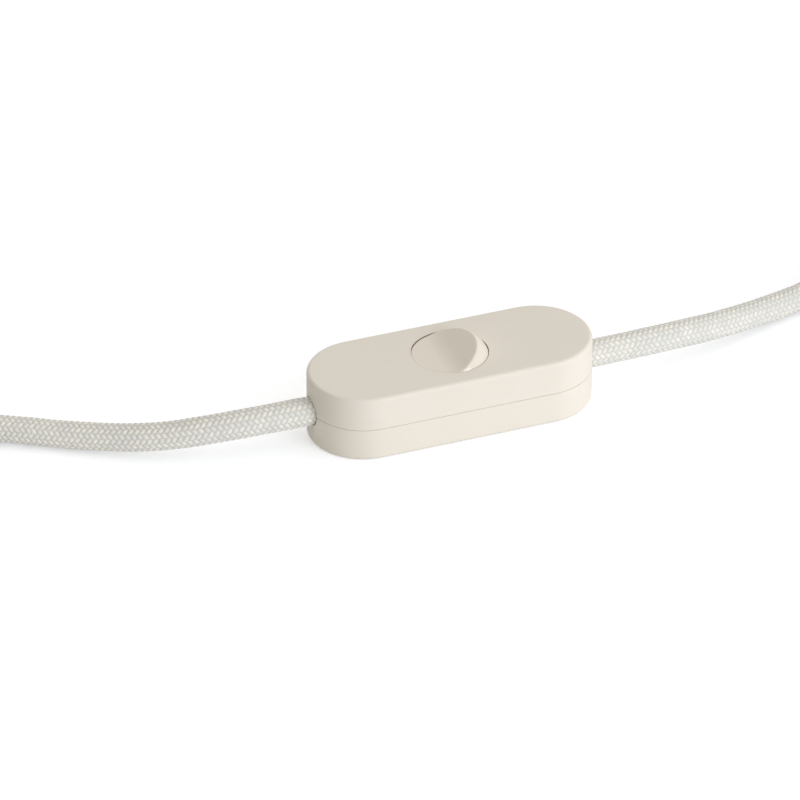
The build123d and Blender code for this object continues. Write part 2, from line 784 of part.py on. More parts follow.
# Ties: a band round each long side of a hank
left_tie_x = left_fold_x - tie_from_fold
right_tie_x = right_fold_x + tie_from_fold
for ties_name, ties_x, ties_top in (
    ("left_ties", left_tie_x, left_hank_top),
    ("right_ties", right_tie_x, right_hank_top),
):
    with BuildPart() as ties:
        ties_middle = (hank_base + ties_top) / 2
        with BuildSketch(Plane.YZ.offset(ties_x - tie_width / 2)) as band:
            with Locations((hank_y - bundle_y, ties_middle), (hank_y + bundle_y, ties_middle)):
                Rectangle(bundle_width + 2 * tie_thickness, ties_top - hank_base + 2 * tie_thickness)
            chamfer(band.vertices(), tie_bevel)
        extrude(amount=tie_width)
        with BuildSketch(Plane.YZ.offset(ties_x - tie_width / 2)) as hollow:
            with Locations((hank_y - bundle_y, ties_middle), (hank_y + bundle_y, ties_middle)):
                Rectangle(bundle_width + 2 * tie_clearance, ties_top - hank_base + 2 * tie_clearance)
            chamfer(hollow.vertices(), hank_bevel)
        extrude(amount=tie_width, mode=Mode.SUBTRACT)
    ties.part.label = ties_name
    export_step(ties.part, "parts/" + ties_name + ".step")

# Free stretches of the cord, cut where they go into a hank
with BuildPart() as left_cord:
    with BuildLine() as left_line:
        FilletPolyline(*left_route, radius=corner_radii(left_route))
    with BuildSketch(Plane(left_line.line @ 0, z_dir=left_line.line % 0)):
        Circle(cord_radius)
    sweep()
    report_tube("left cord", left_cord.part, left_line.line, left_route)
    with Locations((left_fold_x, hank_y, 0)):
        Cylinder(hank_width / 2, 2 * left_hank_top, mode=Mode.SUBTRACT)
left_cord.part.label = "left_cord"
export_step(left_cord.part, "parts/left_cord.step")

with BuildPart() as right_cord:
    with BuildLine() as right_line:
        FilletPolyline(*right_route, radius=corner_radii(right_route))
    with BuildSketch(Plane(right_line.line @ 0, z_dir=right_line.line % 0)):
        Circle(cord_radius)
    sweep()
    report_tube("right cord", right_cord.part, right_line.line, right_route)
    with Locations((right_fold_x, hank_y, 0)):
        Cylinder(hank_width / 2, 2 * right_hank_top, mode=Mode.SUBTRACT)
right_cord.part.label = "right_cord"
export_step(right_cord.part, "parts/right_cord.step")

with BuildPart() as left_tail_cord:
    with BuildLine() as left_tail_line:
        FilletPolyline(*left_tail, radius=corner_radii(left_tail))
    with BuildSketch(Plane(left_tail_line.line @ 0, z_dir=left_tail_line.line % 0)):
        Circle(cord_radius)
    sweep()
    report_tube("left tail", left_tail_cord.part, left_tail_line.line, left_tail)
    add(left_hank.part, mode=Mode.SUBTRACT)
left_tail_cord.part.label = "left_tail"
export_step(left_tail_cord.part, "parts/left_tail.step")

with BuildPart() as right_tail_cord:
    with BuildLine() as right_tail_line:
        FilletPolyline(*right_tail, radius=corner_radii(right_tail))
    with BuildSketch(Plane(right_tail_line.line @ 0, z_dir=right_tail_line.line % 0)):
        Circle(cord_radius)
    sweep()
    report_tube("right tail", right_tail_cord.part, right_tail_line.line, right_tail)
    add(right_hank.part, mode=Mode.SUBTRACT)
right_tail_cord.part.label = "right_tail"
export_step(right_tail_cord.part, "parts/right_tail.step")

# Plug frame: Z runs from the cord to the pins, X is across the pins
plug_plane = Plane(origin=plug_start, x_dir=Vector(0, 0, 1).cross(plug_way), z_dir=plug_way)
plug_flat = Plane(origin=plug_start, x_dir=plug_plane.x_dir, z_dir=(0, 0, 1))
with BuildPart() as plug_body:
    with BuildSketch(plug_flat.offset(-plug_thickness / 2)) as plug_outline:
        with BuildLine():
            Polyline(
                (-plug_neck_width / 2, 0),
                (-plug_neck_width / 2 - plug_neck_flare, -plug_neck_length),
                (-plug_width / 2 + plug_shoulder_inset, -plug_shoulder_length),
                (-plug_width / 2, -plug_length),
                (plug_width / 2, -plug_length),
                (plug_width / 2 - plug_shoulder_inset, -plug_shoulder_length),
                (plug_neck_width / 2 + plug_neck_flare, -plug_neck_length),
                (plug_neck_width / 2, 0),
                close=True,
            )
        make_face()
    extrude(amount=plug_thickness)
    fillet(plug_body.edges().filter_by(Axis.Z), plug_round)
    fillet(plug_body.faces().filter_by(Plane.XY).edges(), plug_edge_round)
    with BuildSketch(plug_plane.offset(plug_length)):
        with Locations((-pin_spacing / 2, 0), (pin_spacing / 2, 0)):
            Circle(pin_core_radius)
    extrude(amount=-pin_root, mode=Mode.SUBTRACT)
plug_body.part.label = "plug_body"
export_step(plug_body.part, "parts/plug_body.step")

with BuildPart() as plug_pins:
    with BuildSketch(plug_plane.offset(plug_length - pin_root)):
        with Locations((-pin_spacing / 2, 0), (pin_spacing / 2, 0)):
            Circle(pin_core_radius)
    extrude(amount=pin_root + pin_length - pin_bare)
    with BuildSketch(plug_plane.offset(plug_length + pin_length - pin_bare)):
        with Locations((-pin_spacing / 2, 0), (pin_spacing / 2, 0)):
            Circle(pin_radius)
    extrude(amount=pin_bare)
    fillet(plug_pins.edges().group_by(Axis(tuple(plug_start), tuple(plug_way)))[-1], pin_tip_round)
plug_pins.part.label = "plug_pins"
export_step(plug_pins.part, "parts/plug_pins.step")

with BuildPart() as pin_sleeves:
    with BuildSketch(plug_plane.offset(plug_length)):
        with Locations((-pin_spacing / 2, 0), (pin_spacing / 2, 0)):
            Circle(sleeve_radius)
            Circle(pin_core_radius, mode=Mode.SUBTRACT)
    extrude(amount=pin_length - pin_bare)
pin_sleeves.part.label = "pin_sleeves"
export_step(pin_sleeves.part, "parts/pin_sleeves.step")

# Bend relief: a tapered boot with ring slots, round the last of the cord
boot_plane = Plane(origin=boot_start, x_dir=plug_plane.x_dir, z_dir=plug_way)
with BuildPart() as plug_boot:
    with BuildSketch(boot_plane):
        Circle(boot_tip_radius)
    with BuildSketch(boot_plane.offset(boot_length)):
        Circle(boot_base_radius)
    loft()
    for slot in range(boot_slots):
        slot_at = boot_length * (slot + 1) / (boot_slots + 1.5)
        slot_radius = boot_tip_radius + (boot_base_radius - boot_tip_radius) * slot_at / boot_length
        with BuildSketch(boot_plane.offset(slot_at - boot_slot_width / 2)):
            Circle(2 * boot_base_radius)
            Circle(slot_radius - boot_slot_depth, mode=Mode.SUBTRACT)
        extrude(amount=boot_slot_width, mode=Mode.SUBTRACT)
    with BuildSketch(boot_plane):
        Circle(cord_radius + boot_clearance)
    extrude(amount=boot_length, mode=Mode.SUBTRACT)
plug_boot.part.label = "plug_boot"
export_step(plug_boot.part, "parts/plug_boot.step")

# Lamp holder: grip, cap, body with the screw shell, centre tongue and wiring lugs
holder_axis = Axis((0, hank_y, holder_z), (1, 0, 0))
holder_profile = Plane(origin=(0, hank_y, holder_z), x_dir=(1, 0, 0), z_dir=(0, -1, 0))
with BuildPart() as holder_grip:
    with BuildSketch(Plane.YZ.offset(grip_x)):
        with Locations((hank_y, holder_z)):
            RegularPolygon(grip_flat / 2, 6, major_radius=False)
    extrude(amount=grip_length)
    fillet(holder_grip.faces().sort_by(Axis.X)[0].edges(), grip_edge_round)
    with BuildSketch(Plane.YZ.offset(grip_x)):
        with Locations((hank_y, holder_z)):
            Circle(cord_radius + cord_clearance)
    extrude(amount=grip_length, mode=Mode.SUBTRACT)
holder_grip.part.label = "holder_grip"
export_step(holder_grip.part, "parts/holder_grip.step")

with BuildPart() as holder_cap:
    with BuildSketch(holder_profile):
        with BuildLine():
            Polyline(
                (holder_x, holder_radius - holder_wall),
                (holder_x, holder_radius),
                (holder_x - cap_rim, holder_radius),
            )
            ThreePointArc(
                (holder_x - cap_rim, holder_radius),
                (cap_x + cap_bulge_x, cap_bulge_radius),
                (cap_x, holder_neck_radius),
            )
            Polyline(
                (cap_x, holder_neck_radius),
                (cap_x, cord_radius + cord_clearance),
                (cap_x + holder_wall, cord_radius + cord_clearance),
                (cap_x + holder_wall, holder_neck_radius - cap_neck_wall),
                (holder_x - cap_hollow_x, holder_radius - holder_wall - cap_hollow_step),
                (holder_x, holder_radius - holder_wall),
            )
        make_face()
    revolve(axis=holder_axis)
holder_cap.part.label = "holder_cap"
export_step(holder_cap.part, "parts/holder_cap.step")

shell_seat = shell_bore + shell_wall + shell_clearance
shell_x = mouth_x - holder_mouth_rim - shell_length
socket_floor_x = shell_x - tongue_rise - tongue_gap
with BuildPart() as holder_body:
    with BuildSketch(Plane.YZ.offset(holder_x)):
        with Locations((hank_y, holder_z)):
            Circle(holder_radius)
    extrude(amount=holder_body_length)
    fillet(holder_body.faces().sort_by(Axis.X)[-1].edges(), holder_edge_round)
    with BuildSketch(Plane.YZ.offset(shell_x)):
        with Locations((hank_y, holder_z)):
            Circle(shell_seat)
    extrude(amount=shell_length + holder_mouth_rim, mode=Mode.SUBTRACT)
    with BuildSketch(Plane.YZ.offset(socket_floor_x)):
        with Locations((hank_y, holder_z)):
            Circle(shell_bore - shell_ledge)
    extrude(amount=shell_x - socket_floor_x, mode=Mode.SUBTRACT)
    with BuildSketch(Plane.YZ.offset(holder_x)):
        with Locations((hank_y, holder_z)):
            Circle(holder_radius - holder_wall)
    extrude(amount=socket_floor_x - holder_shelf - holder_x, mode=Mode.SUBTRACT)
holder_body.part.label = "holder_body"
export_step(holder_body.part, "parts/holder_body.step")

with BuildPart() as screw_shell:
    with BuildSketch(Plane.YZ.offset(shell_x)):
        with Locations((hank_y, holder_z)):
            Circle(shell_bore + shell_wall)
            Circle(shell_bore, mode=Mode.SUBTRACT)
    extrude(amount=shell_length)
screw_shell.part.label = "screw_shell"
export_step(screw_shell.part, "parts/screw_shell.step")

with BuildPart() as centre_tongue:
    with BuildSketch(Plane.XZ.offset(-hank_y)):
        with BuildLine():
            Polyline(
                (socket_floor_x, holder_z - tongue_foot_low),
                (socket_floor_x + tongue_thickness, holder_z - tongue_foot_low),
                (socket_floor_x + tongue_thickness, holder_z - tongue_foot_high),
                (socket_floor_x + tongue_rise, holder_z + tongue_bend),
                (socket_floor_x + tongue_rise, holder_z + tongue_tip),
                (socket_floor_x + tongue_rise - tongue_thickness, holder_z + tongue_tip),
                (socket_floor_x + tongue_rise - tongue_thickness, holder_z + tongue_bend_inner),
                (socket_floor_x, holder_z - tongue_foot_inner),
                close=True,
            )
        make_face()
    extrude(amount=tongue_width / 2, both=True)
centre_tongue.part.label = "centre_tongue"
export_step(centre_tongue.part, "parts/centre_tongue.step")

with BuildPart() as wiring_lugs:
    with BuildSketch(Plane.YZ.offset(socket_floor_x - holder_shelf)):
        with Locations((hank_y - lug_y, holder_z), (hank_y + lug_y, holder_z)):
            Rectangle(lug_width, lug_length)
    extrude(amount=-lug_width)
    with BuildSketch(Plane.XY.offset(holder_z)):
        with Locations(
            (socket_floor_x - holder_shelf - lug_width / 2, hank_y - lug_y),
            (socket_floor_x - holder_shelf - lug_width / 2, hank_y + lug_y),
        ):
            Circle(screw_bore_radius)
    extrude(amount=lug_length, mode=Mode.SUBTRACT)
wiring_lugs.part.label = "wiring_lugs"
export_step(wiring_lugs.part, "parts/wiring_lugs.step")

print("plug start", tuple(plug_start), "pin way", tuple(plug_way), "axis height", plug_axis_z)
print("holder axis height", holder_z, "grip", grip_x, "cap", cap_x, "body", holder_x)
print("holder mouth", mouth_x, "screw shell", shell_x)
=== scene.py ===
"""Looks of a braided lamp cord set with an inline rocker switch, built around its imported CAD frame."""
from __future__ import annotations

import logging
import math
from dataclasses import dataclass
from enum import Enum
from typing import Sequence

import bpy
import numpy as np
from mathutils import Matrix, Vector


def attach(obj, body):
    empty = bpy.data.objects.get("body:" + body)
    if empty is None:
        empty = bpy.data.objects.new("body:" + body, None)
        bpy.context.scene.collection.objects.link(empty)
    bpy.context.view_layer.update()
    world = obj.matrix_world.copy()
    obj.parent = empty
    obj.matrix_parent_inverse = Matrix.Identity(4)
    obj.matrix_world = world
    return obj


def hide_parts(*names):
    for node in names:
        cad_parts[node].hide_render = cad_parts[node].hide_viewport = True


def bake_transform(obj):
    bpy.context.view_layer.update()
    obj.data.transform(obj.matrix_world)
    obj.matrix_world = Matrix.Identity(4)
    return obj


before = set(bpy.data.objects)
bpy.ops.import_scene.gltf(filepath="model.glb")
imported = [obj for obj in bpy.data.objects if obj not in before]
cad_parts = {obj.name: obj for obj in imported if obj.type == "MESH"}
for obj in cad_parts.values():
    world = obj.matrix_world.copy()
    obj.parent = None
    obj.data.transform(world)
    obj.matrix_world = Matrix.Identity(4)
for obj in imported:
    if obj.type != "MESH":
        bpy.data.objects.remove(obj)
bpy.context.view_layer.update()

LOG = logging.getLogger("lamp_cord_set")
MM = 0.001
HOUSING = "housing"
BRAID_MAP = "braid"
PLAIN_SHARE = "plain_share"
# The cord's diameter over its braid in mm, the columns of stitches round it and the length of a stitch
CORD_DIAMETER = 6.5
COLUMNS = 16
STITCH_MM = 1.4
# How far a stitch leans across its column, and the powers that plump it and round its column's edges
LEAN = 0.45
PLUMP, FALL, ROUND_OFF = 0.6, 2.4, 0.5
# Y of the hanks' middle line and height of the lamp holder's axis, in mm
HANK_Y = 8.0
HOLDER_HEIGHT = 32.7
# Most values of a noise texture lie between these
NOISE_LOW, NOISE_HIGH = 0.3, 0.7
# How strongly a cloud in plastic darkens red, green, blue and alpha
CLOUD_WEIGHTS = (1.0, 1.1, 1.4, 0.0)
WHITE = (1.0, 1.0, 1.0, 1.0)
# Edges of a screw that are sharper than this, in degrees, stay sharp
SHARP_EDGE = 40.0

Colour = tuple[float, float, float, float]
Point = tuple[float, float, float]


class Side(Enum):
    """The two ends of the switch, by the sign of X."""

    LEFT = -1
    RIGHT = 1


class Drive(Enum):
    """The recess in a screw's head."""

    CROSS = "cross"
    SLOT = "slot"


def linear(colour: str) -> Colour:
    """Turns an sRGB hex colour into linear red, green, blue and alpha.

    Args:
        colour: six hex digits with a leading hash.

    Returns:
        The four linear values, alpha 1.
    """
    srgb = np.array([int(colour[i : i + 2], 16) for i in (1, 3, 5)]) / 255.0
    flat = np.where(srgb <= 0.04045, srgb / 12.92, ((srgb + 0.055) / 1.055) ** 2.4)
    return (float(flat[0]), float(flat[1]), float(flat[2]), 1.0)


def per_metre(size_mm: float) -> float:
    """Texture scale, in features per metre, of a feature of that size."""
    return 1000.0 / size_mm


def add_node(
    tree: bpy.types.NodeTree, kind: str, inputs: dict | None = None, **settings: object
) -> bpy.types.Node:
    """Adds one node with its settings and its input values or links.

    Args:
        tree: the node tree that gets the node.
        kind: the node's type name after "ShaderNode".
        inputs: input name or number to a value, or to the socket that feeds it.
        settings: attributes of the node itself.

    Returns:
        The new node.
    """
    node = tree.nodes.new("ShaderNode" + kind)
    for name, value in settings.items():
        setattr(node, name, value)
    for name, value in (inputs or {}).items():
        if isinstance(value, bpy.types.NodeSocket):
            tree.links.new(value, node.inputs[name])
        else:
            node.inputs[name].default_value = value
    return node


def new_material(name: str) -> tuple[bpy.types.Material, bpy.types.NodeTree]:
    """Makes an empty node material.

    Args:
        name: the material's name.

    Returns:
        The material and its node tree.
    """
    material = bpy.data.materials.new(name)
    material.use_nodes = True
    material.node_tree.nodes.clear()
    return material, material.node_tree


def darker(colour: Colour, shade: float) -> Colour:
    """A linear colour at that share of its brightness."""
    return (colour[0] * shade, colour[1] * shade, colour[2] * shade, 1.0)


def end_finish(
    tree: bpy.types.NodeTree,
    colour: bpy.types.NodeSocket,
    height: bpy.types.NodeSocket,
    depth_mm: float,
    skin: dict,
) -> None:
    """Ends a finish with its relief, its shader and the material's output.

    Args:
        tree: the finish's node tree.
        colour: what gives its colour.
        height: what gives its relief, as a share of the depth.
        depth_mm: depth of the relief.
        skin: the shader's other inputs.
    """
    bump = add_node(tree, "Bump", {"Height": height, "Distance": depth_mm * MM, "Strength": 1.0})
    shader = add_node(tree, "BsdfPrincipled", {
        "Base Color": colour, "Normal": bump.outputs["Normal"], **skin,
    })
    add_node(tree, "OutputMaterial", {"Surface": shader.outputs["BSDF"]})


@dataclass(frozen=True)
class MouldedPlastic:
    """Injection-moulded plastic: a spark-eroded mould leaves a fine even grit with a soft sheen.

    Attributes:
        name: the material's name.
        colour: sRGB hex of the plastic.
        roughness: middle roughness of the skin.
        grit_mm: grain size of the mould's texture, drawn as coarse as it needs to show.
        grit_depth_mm: depth of that grain.
        flow_mm: size of the faint colour clouds that the melt leaves.
        flow: how far the clouds darken the colour, most of all its blue.
        ior: index of refraction of the plastic.
        spread: how far the roughness goes up and down with the grit.
    """

    name: str
    colour: str
    roughness: float = 0.55
    grit_mm: float = 0.55
    grit_depth_mm: float = 0.012
    flow_mm: float = 16.0
    flow: float = 0.05
    ior: float = 1.53
    spread: float = 0.05

    def material(self) -> bpy.types.Material:
        """Builds the node material."""
        material, tree = new_material(self.name)
        place = add_node(tree, "TexCoord").outputs["Object"]
        clouds = add_node(tree, "TexNoise", {
            "Vector": place, "Scale": per_metre(self.flow_mm), "Detail": 3.0,
        })
        pale = linear(self.colour)
        dull = tuple(
            channel * (1.0 - self.flow * weight) for channel, weight in zip(pale, CLOUD_WEIGHTS)
        )
        tint = add_node(tree, "Mix", {"Factor": clouds.outputs["Fac"], 6: dull, 7: pale}, data_type="RGBA")
        grit = add_node(tree, "TexNoise", {"Vector": place, "Scale": per_metre(self.grit_mm), "Detail": 2.0})
        skin = add_node(tree, "MapRange", {
            "Value": grit.outputs["Fac"], "From Min": NOISE_LOW, "From Max": NOISE_HIGH,
            "To Min": self.roughness - self.spread, "To Max": self.roughness + self.spread,
        })
        end_finish(tree, tint.outputs[2], grit.outputs["Fac"], self.grit_depth_mm, {
            "Roughness": skin.outputs["Result"], "IOR": self.ior,
        })
        return material


@dataclass(frozen=True)
class DrawnMetal:
    """Stamped, drawn or plated metal: fine drawing marks along one axis and a worn, uneven gloss.

    Attributes:
        name: the material's name.
        colour: sRGB hex of the bare or plated metal.
        roughness: middle roughness.
        mark_mm: spacing of the drawing marks across their direction.
        stretch: how many times longer the marks are than wide, along X.
        mark_depth_mm: depth of the marks.
        wear_mm: size of the patches where handling has dulled the gloss.
        shade: how dark the metal is in a mark, as a share of its colour.
        wear: how far wear takes the roughness down and up.
    """

    name: str
    colour: str
    roughness: float = 0.3
    mark_mm: float = 0.2
    stretch: float = 12.0
    mark_depth_mm: float = 0.004
    wear_mm: float = 2.5
    shade: float = 0.82
    wear: tuple[float, float] = (0.08, 0.1)

    def material(self) -> bpy.types.Material:
        """Builds the node material."""
        material, tree = new_material(self.name)
        place = add_node(tree, "TexCoord").outputs["Object"]
        drawn = add_node(tree, "Mapping", {"Vector": place, "Scale": (1.0 / self.stretch, 1.0, 1.0)})
        marks = add_node(tree, "TexNoise", {
            "Vector": drawn.outputs["Vector"], "Scale": per_metre(self.mark_mm), "Detail": 3.0,
        })
        wear = add_node(tree, "TexNoise", {"Vector": place, "Scale": per_metre(self.wear_mm), "Detail": 4.0})
        gloss = add_node(tree, "MapRange", {
            "Value": wear.outputs["Fac"], "From Min": NOISE_LOW, "From Max": NOISE_HIGH,
            "To Min": self.roughness - self.wear[0], "To Max": self.roughness + self.wear[1],
        })
        bright = linear(self.colour)
        tint = add_node(tree, "Mix", {
            "Factor": marks.outputs["Fac"], 6: darker(bright, self.shade), 7: bright,
        }, data_type="RGBA")
        end_finish(tree, tint.outputs[2], marks.outputs["Fac"], self.mark_depth_mm, {
            "Metallic": 1.0, "Roughness": gloss.outputs["Result"],
        })
        return material


@dataclass(frozen=True)
class BraidedYarn:
    """Polyester yarn braided round the cord: matt, plump stitches that lean one way and the other.

    The material reads the sleeve's own UV map, where U counts stitches along the cord and V counts columns
    round it. It works out the same height as `braid_height`, so the shading follows the modelled stitches.

    Attributes:
        name: the material's name.
        crown: sRGB hex on top of a stitch.
        valley: sRGB hex between stitches, where the yarn shades itself.
        stain: sRGB hex of the slightly creamier yarns.
        relief_mm: depth between stitches where the mesh itself is plain.
        fibre_rows: rows of fibres in a column.
        fibre_scale: features of the fibres' noise in a stitch and in a row.
        fibre_tint: how far the fibres show in the colour.
        fibre_relief: how far the fibres show in the relief.
        drift: how far the yarn noise moves on from one stitch to the next.
        jump: how far apart neighbouring columns lie in that noise.
        own: share that each stitch adds to it on its own.
        creamy: levels of that noise where the creamier colour starts and is full.
        crown_gain: how soon the crown's colour is full on the way up a stitch.
    """

    name: str
    crown: str
    valley: str
    stain: str
    relief_mm: float = 0.2
    fibre_rows: float = 5.0
    fibre_scale: float = 2.2
    fibre_tint: float = 0.15
    fibre_relief: float = 0.12
    drift: float = 0.35
    jump: float = 7.3
    own: float = 0.3
    creamy: tuple[float, float] = (0.54, 0.86)
    crown_gain: float = 1.2

    def sums(self) -> tuple[tuple[str | float, ...], ...]:
        """The braid's sums in order, each with the name of its result, an operation and what goes into it.

        The height is worked out as in `braid_height`. The other sums place the noise of the fibres, yarns and
        stitches, and mix it with the height.

        Returns:
            One row for each sum. A name stands for the result of an earlier sum or for a node's output.
        """
        return (
            ("column", "FLOOR", "round_it"),
            ("in_column", "SUBTRACT", "round_it", "column"),
            ("across", "SUBTRACT", "in_column", 0.5),
            ("odd_column", "MODULO", "column", 2.0),
            ("twice_odd", "MULTIPLY", 2.0, "odd_column"),
            ("hand", "SUBTRACT", 1.0, "twice_odd"),
            ("lean", "MULTIPLY", "hand", LEAN),
            ("slant", "MULTIPLY", "lean", "across"),
            ("stagger", "MULTIPLY", "column", 0.5),
            ("staggered", "ADD", "along", "stagger"),
            ("phase", "ADD", "staggered", "slant"),
            ("angle", "MULTIPLY", "phase", math.tau),
            ("wave", "COSINE", "angle"),
            ("half_wave", "MULTIPLY", 0.5, "wave"),
            ("swell", "ADD", 0.5, "half_wave"),
            ("plump_swell", "POWER", "swell", PLUMP),
            ("twice_across", "MULTIPLY", "across", 2.0),
            ("off_middle", "ABSOLUTE", "twice_across"),
            ("fall", "POWER", "off_middle", FALL),
            ("edge", "SUBTRACT", 1.0, "fall"),
            ("round_edge", "POWER", "edge", ROUND_OFF),
            ("height", "MULTIPLY", "plump_swell", "round_edge"),
            ("fibre_row", "MULTIPLY", "round_it", self.fibre_rows),
            ("yarn_along", "MULTIPLY", "along", self.drift),
            ("yarn_across", "MULTIPLY", "column", self.jump),
            ("next_stitch", "ADD", "phase", 0.5),
            ("stitch_number", "FLOOR", "next_stitch"),
            ("own_cream", "MULTIPLY", "stitch", self.own),
            ("cream", "ADD", "yarn", "own_cream"),
            ("crown_light", "MULTIPLY", "height", self.crown_gain),
            ("fibre_light", "MULTIPLY", "fibre", self.fibre_tint),
            ("light", "ADD", "crown_light", "fibre_light"),
            ("plain_height", "MULTIPLY", "height", "plain"),
            ("fibre_height", "MULTIPLY", "fibre", self.fibre_relief),
            ("relief", "ADD", "plain_height", "fibre_height"),
        )

    def material(self) -> bpy.types.Material:
        """Builds the node material."""
        material, tree = new_material(self.name)
        place = add_node(tree, "UVMap", uv_map=BRAID_MAP).outputs["UV"]
        split = add_node(tree, "SeparateXYZ", {"Vector": place})
        plain = add_node(tree, "Attribute", attribute_name=PLAIN_SHARE)
        # Fine fibres run along each stitch, in rows drawn about 0.25 mm apart so that they show
        fibre_place = add_node(tree, "CombineXYZ")
        fibres = add_node(tree, "TexNoise", {
            "Vector": fibre_place.outputs["Vector"], "Scale": self.fibre_scale, "Detail": 2.0,
        })
        # Some yarns are creamier: noise that jumps from column to column and drifts slowly along
        yarn_place = add_node(tree, "CombineXYZ")
        yarns = add_node(tree, "TexNoise", {
            "Vector": yarn_place.outputs["Vector"], "Scale": 1.0, "Detail": 1.0,
        })
        # Each stitch is a little creamier or plainer on its own
        stitch_place = add_node(tree, "CombineXYZ")
        stitches = add_node(tree, "TexWhiteNoise", {
            "Vector": stitch_place.outputs["Vector"],
        }, noise_dimensions="2D")

        found: dict[str | float, bpy.types.NodeSocket] = {
            "along": split.outputs["X"], "round_it": split.outputs["Y"], "plain": plain.outputs["Fac"],
            "fibre": fibres.outputs["Fac"], "yarn": yarns.outputs["Fac"], "stitch": stitches.outputs["Value"],
        }
        for name, operation, *values in self.sums():
            inputs = {number: found.get(value, value) for number, value in enumerate(values)}
            found[name] = add_node(tree, "Math", inputs, operation=operation).outputs[0]
        for node, x, y in (
            (fibre_place, "phase", "fibre_row"),
            (yarn_place, "yarn_along", "yarn_across"),
            (stitch_place, "stitch_number", "column"),
        ):
            tree.links.new(found[x], node.inputs["X"])
            tree.links.new(found[y], node.inputs["Y"])

        cream = add_node(tree, "MapRange", {
            "Value": found["cream"], "From Min": self.creamy[0], "From Max": self.creamy[1],
            "To Min": 0.0, "To Max": 1.0,
        })
        yarn = add_node(tree, "Mix", {
            "Factor": cream.outputs["Result"], 6: linear(self.crown), 7: linear(self.stain),
        }, data_type="RGBA")
        # Painted shade: the colour falls from the yarn's own to the valley colour down the sides of each
        # stitch
        tint = add_node(tree, "Mix", {
            "Factor": found["light"], 6: linear(self.valley), 7: yarn.outputs[2],
        }, data_type="RGBA")
        end_finish(tree, tint.outputs[2], found["relief"], self.relief_mm, {
            "Roughness": 0.8, "IOR": 1.5, "Specular IOR Level": 0.3,
            "Sheen Weight": 0.12, "Sheen Roughness": 0.5,
        })
        return material


@dataclass(frozen=True)
class WovenTape:
    """Woven tape: a plain weave whose warp and weft cross as a fine check.

    Attributes:
        name: the material's name.
        colour: sRGB hex of the tape.
        thread_mm: spacing of the threads, in the UV map's millimetres.
        shade: how dark the tape is painted between threads, a painted shade in the gaps of the weave, as a
            share of its colour.
        relief_mm: depth between threads.
        unevenness: how far the threads wander.
    """

    name: str
    colour: str
    thread_mm: float = 0.5
    shade: float = 0.72
    relief_mm: float = 0.15
    unevenness: float = 0.4

    def material(self) -> bpy.types.Material:
        """Builds the node material."""
        material, tree = new_material(self.name)
        place = add_node(tree, "UVMap", uv_map=BRAID_MAP).outputs["UV"]
        # A wave texture of scale 1 repeats 20 times in 2 pi units
        scale = math.tau / 20.0 / self.thread_mm
        threads = {"Vector": place, "Scale": scale, "Distortion": self.unevenness}
        warp = add_node(tree, "TexWave", threads, bands_direction="X")
        weft = add_node(tree, "TexWave", threads, bands_direction="Y")
        weave = add_node(tree, "Math", {0: warp.outputs["Fac"], 1: weft.outputs["Fac"]}, operation="MULTIPLY")
        pale = linear(self.colour)
        # Painted shade: the tape is drawn darker between threads, where the weave's gaps are shaded
        tint = add_node(tree, "Mix", {
            "Factor": weave.outputs[0], 6: darker(pale, self.shade), 7: pale,
        }, data_type="RGBA")
        end_finish(tree, tint.outputs[2], weave.outputs[0], self.relief_mm, {
            "Roughness": 0.9, "Specular IOR Level": 0.2, "Sheen Weight": 0.1,
        })
        return material


def piece_from(
    name: str,
    material: bpy.types.Material,
    points: np.ndarray,
    faces: Sequence[Sequence[int]],
    uvs: np.ndarray | None = None,
    shares: np.ndarray | None = None,
) -> bpy.types.Object:
    """Puts worked-out points and faces into a smooth mesh object at the origin.

    Args:
        name: the piece's name.
        material: its material.
        points: one row of X, Y, Z in metres for each point.
        faces: the point numbers of each face, outward by the right-hand rule.
        uvs: one U, V row for each face corner, in face order.
        shares: one number for each point, how far the material draws the relief there.

    Returns:
        The linked object.
    """
    mesh = bpy.data.meshes.new(name)
    mesh.from_pydata(points.tolist(), [], faces)
    mesh.materials.append(material)
    if uvs is not None:
        layer = mesh.uv_layers.new(name=BRAID_MAP)
        layer.data.foreach_set("uv", np.ascontiguousarray(uvs, np.float32).ravel())
    if shares is not None:
        plain = mesh.attributes.new(PLAIN_SHARE, "FLOAT", "POINT")
        plain.data.foreach_set("value", shares.astype(np.float32))
    mesh.polygons.foreach_set("use_smooth", np.ones(len(mesh.polygons), dtype=bool))
    mesh.update()
    piece = bpy.data.objects.new(name, mesh)
    bpy.context.scene.collection.objects.link(piece)
    LOG.info("%s made of %d points", name, len(points))
    return piece


def ring_quads(rows: int, columns: int, first: int = 0, closed_rows: bool = False) -> np.ndarray:
    """Quads of a grid that closes on itself across its columns.

    Args:
        rows: number of rings.
        columns: points in each ring.
        first: number of the grid's first point.
        closed_rows: whether the last ring joins the first one.

    Returns:
        Four point numbers for each quad, row by row.
    """
    i, j = np.meshgrid(np.arange(rows if closed_rows else rows - 1), np.arange(columns), indexing="ij")
    i2, j2 = (i + 1) % rows, (j + 1) % columns
    quads = np.stack([i * columns + j, i2 * columns + j, i2 * columns + j2, i * columns + j2], axis=-1)
    return first + quads.reshape(-1, 4)


def end_caps(rows: int, columns: int, first: int = 0) -> list[list[int]]:
    """Faces that close the first and the last ring of such a grid."""
    last = first + (rows - 1) * columns
    return [list(range(first, first + columns)), list(range(last, last + columns))[::-1]]


def circle(count: int) -> np.ndarray:
    """Evenly spaced angles round a circle, in radians."""
    return math.tau * np.arange(count) / count


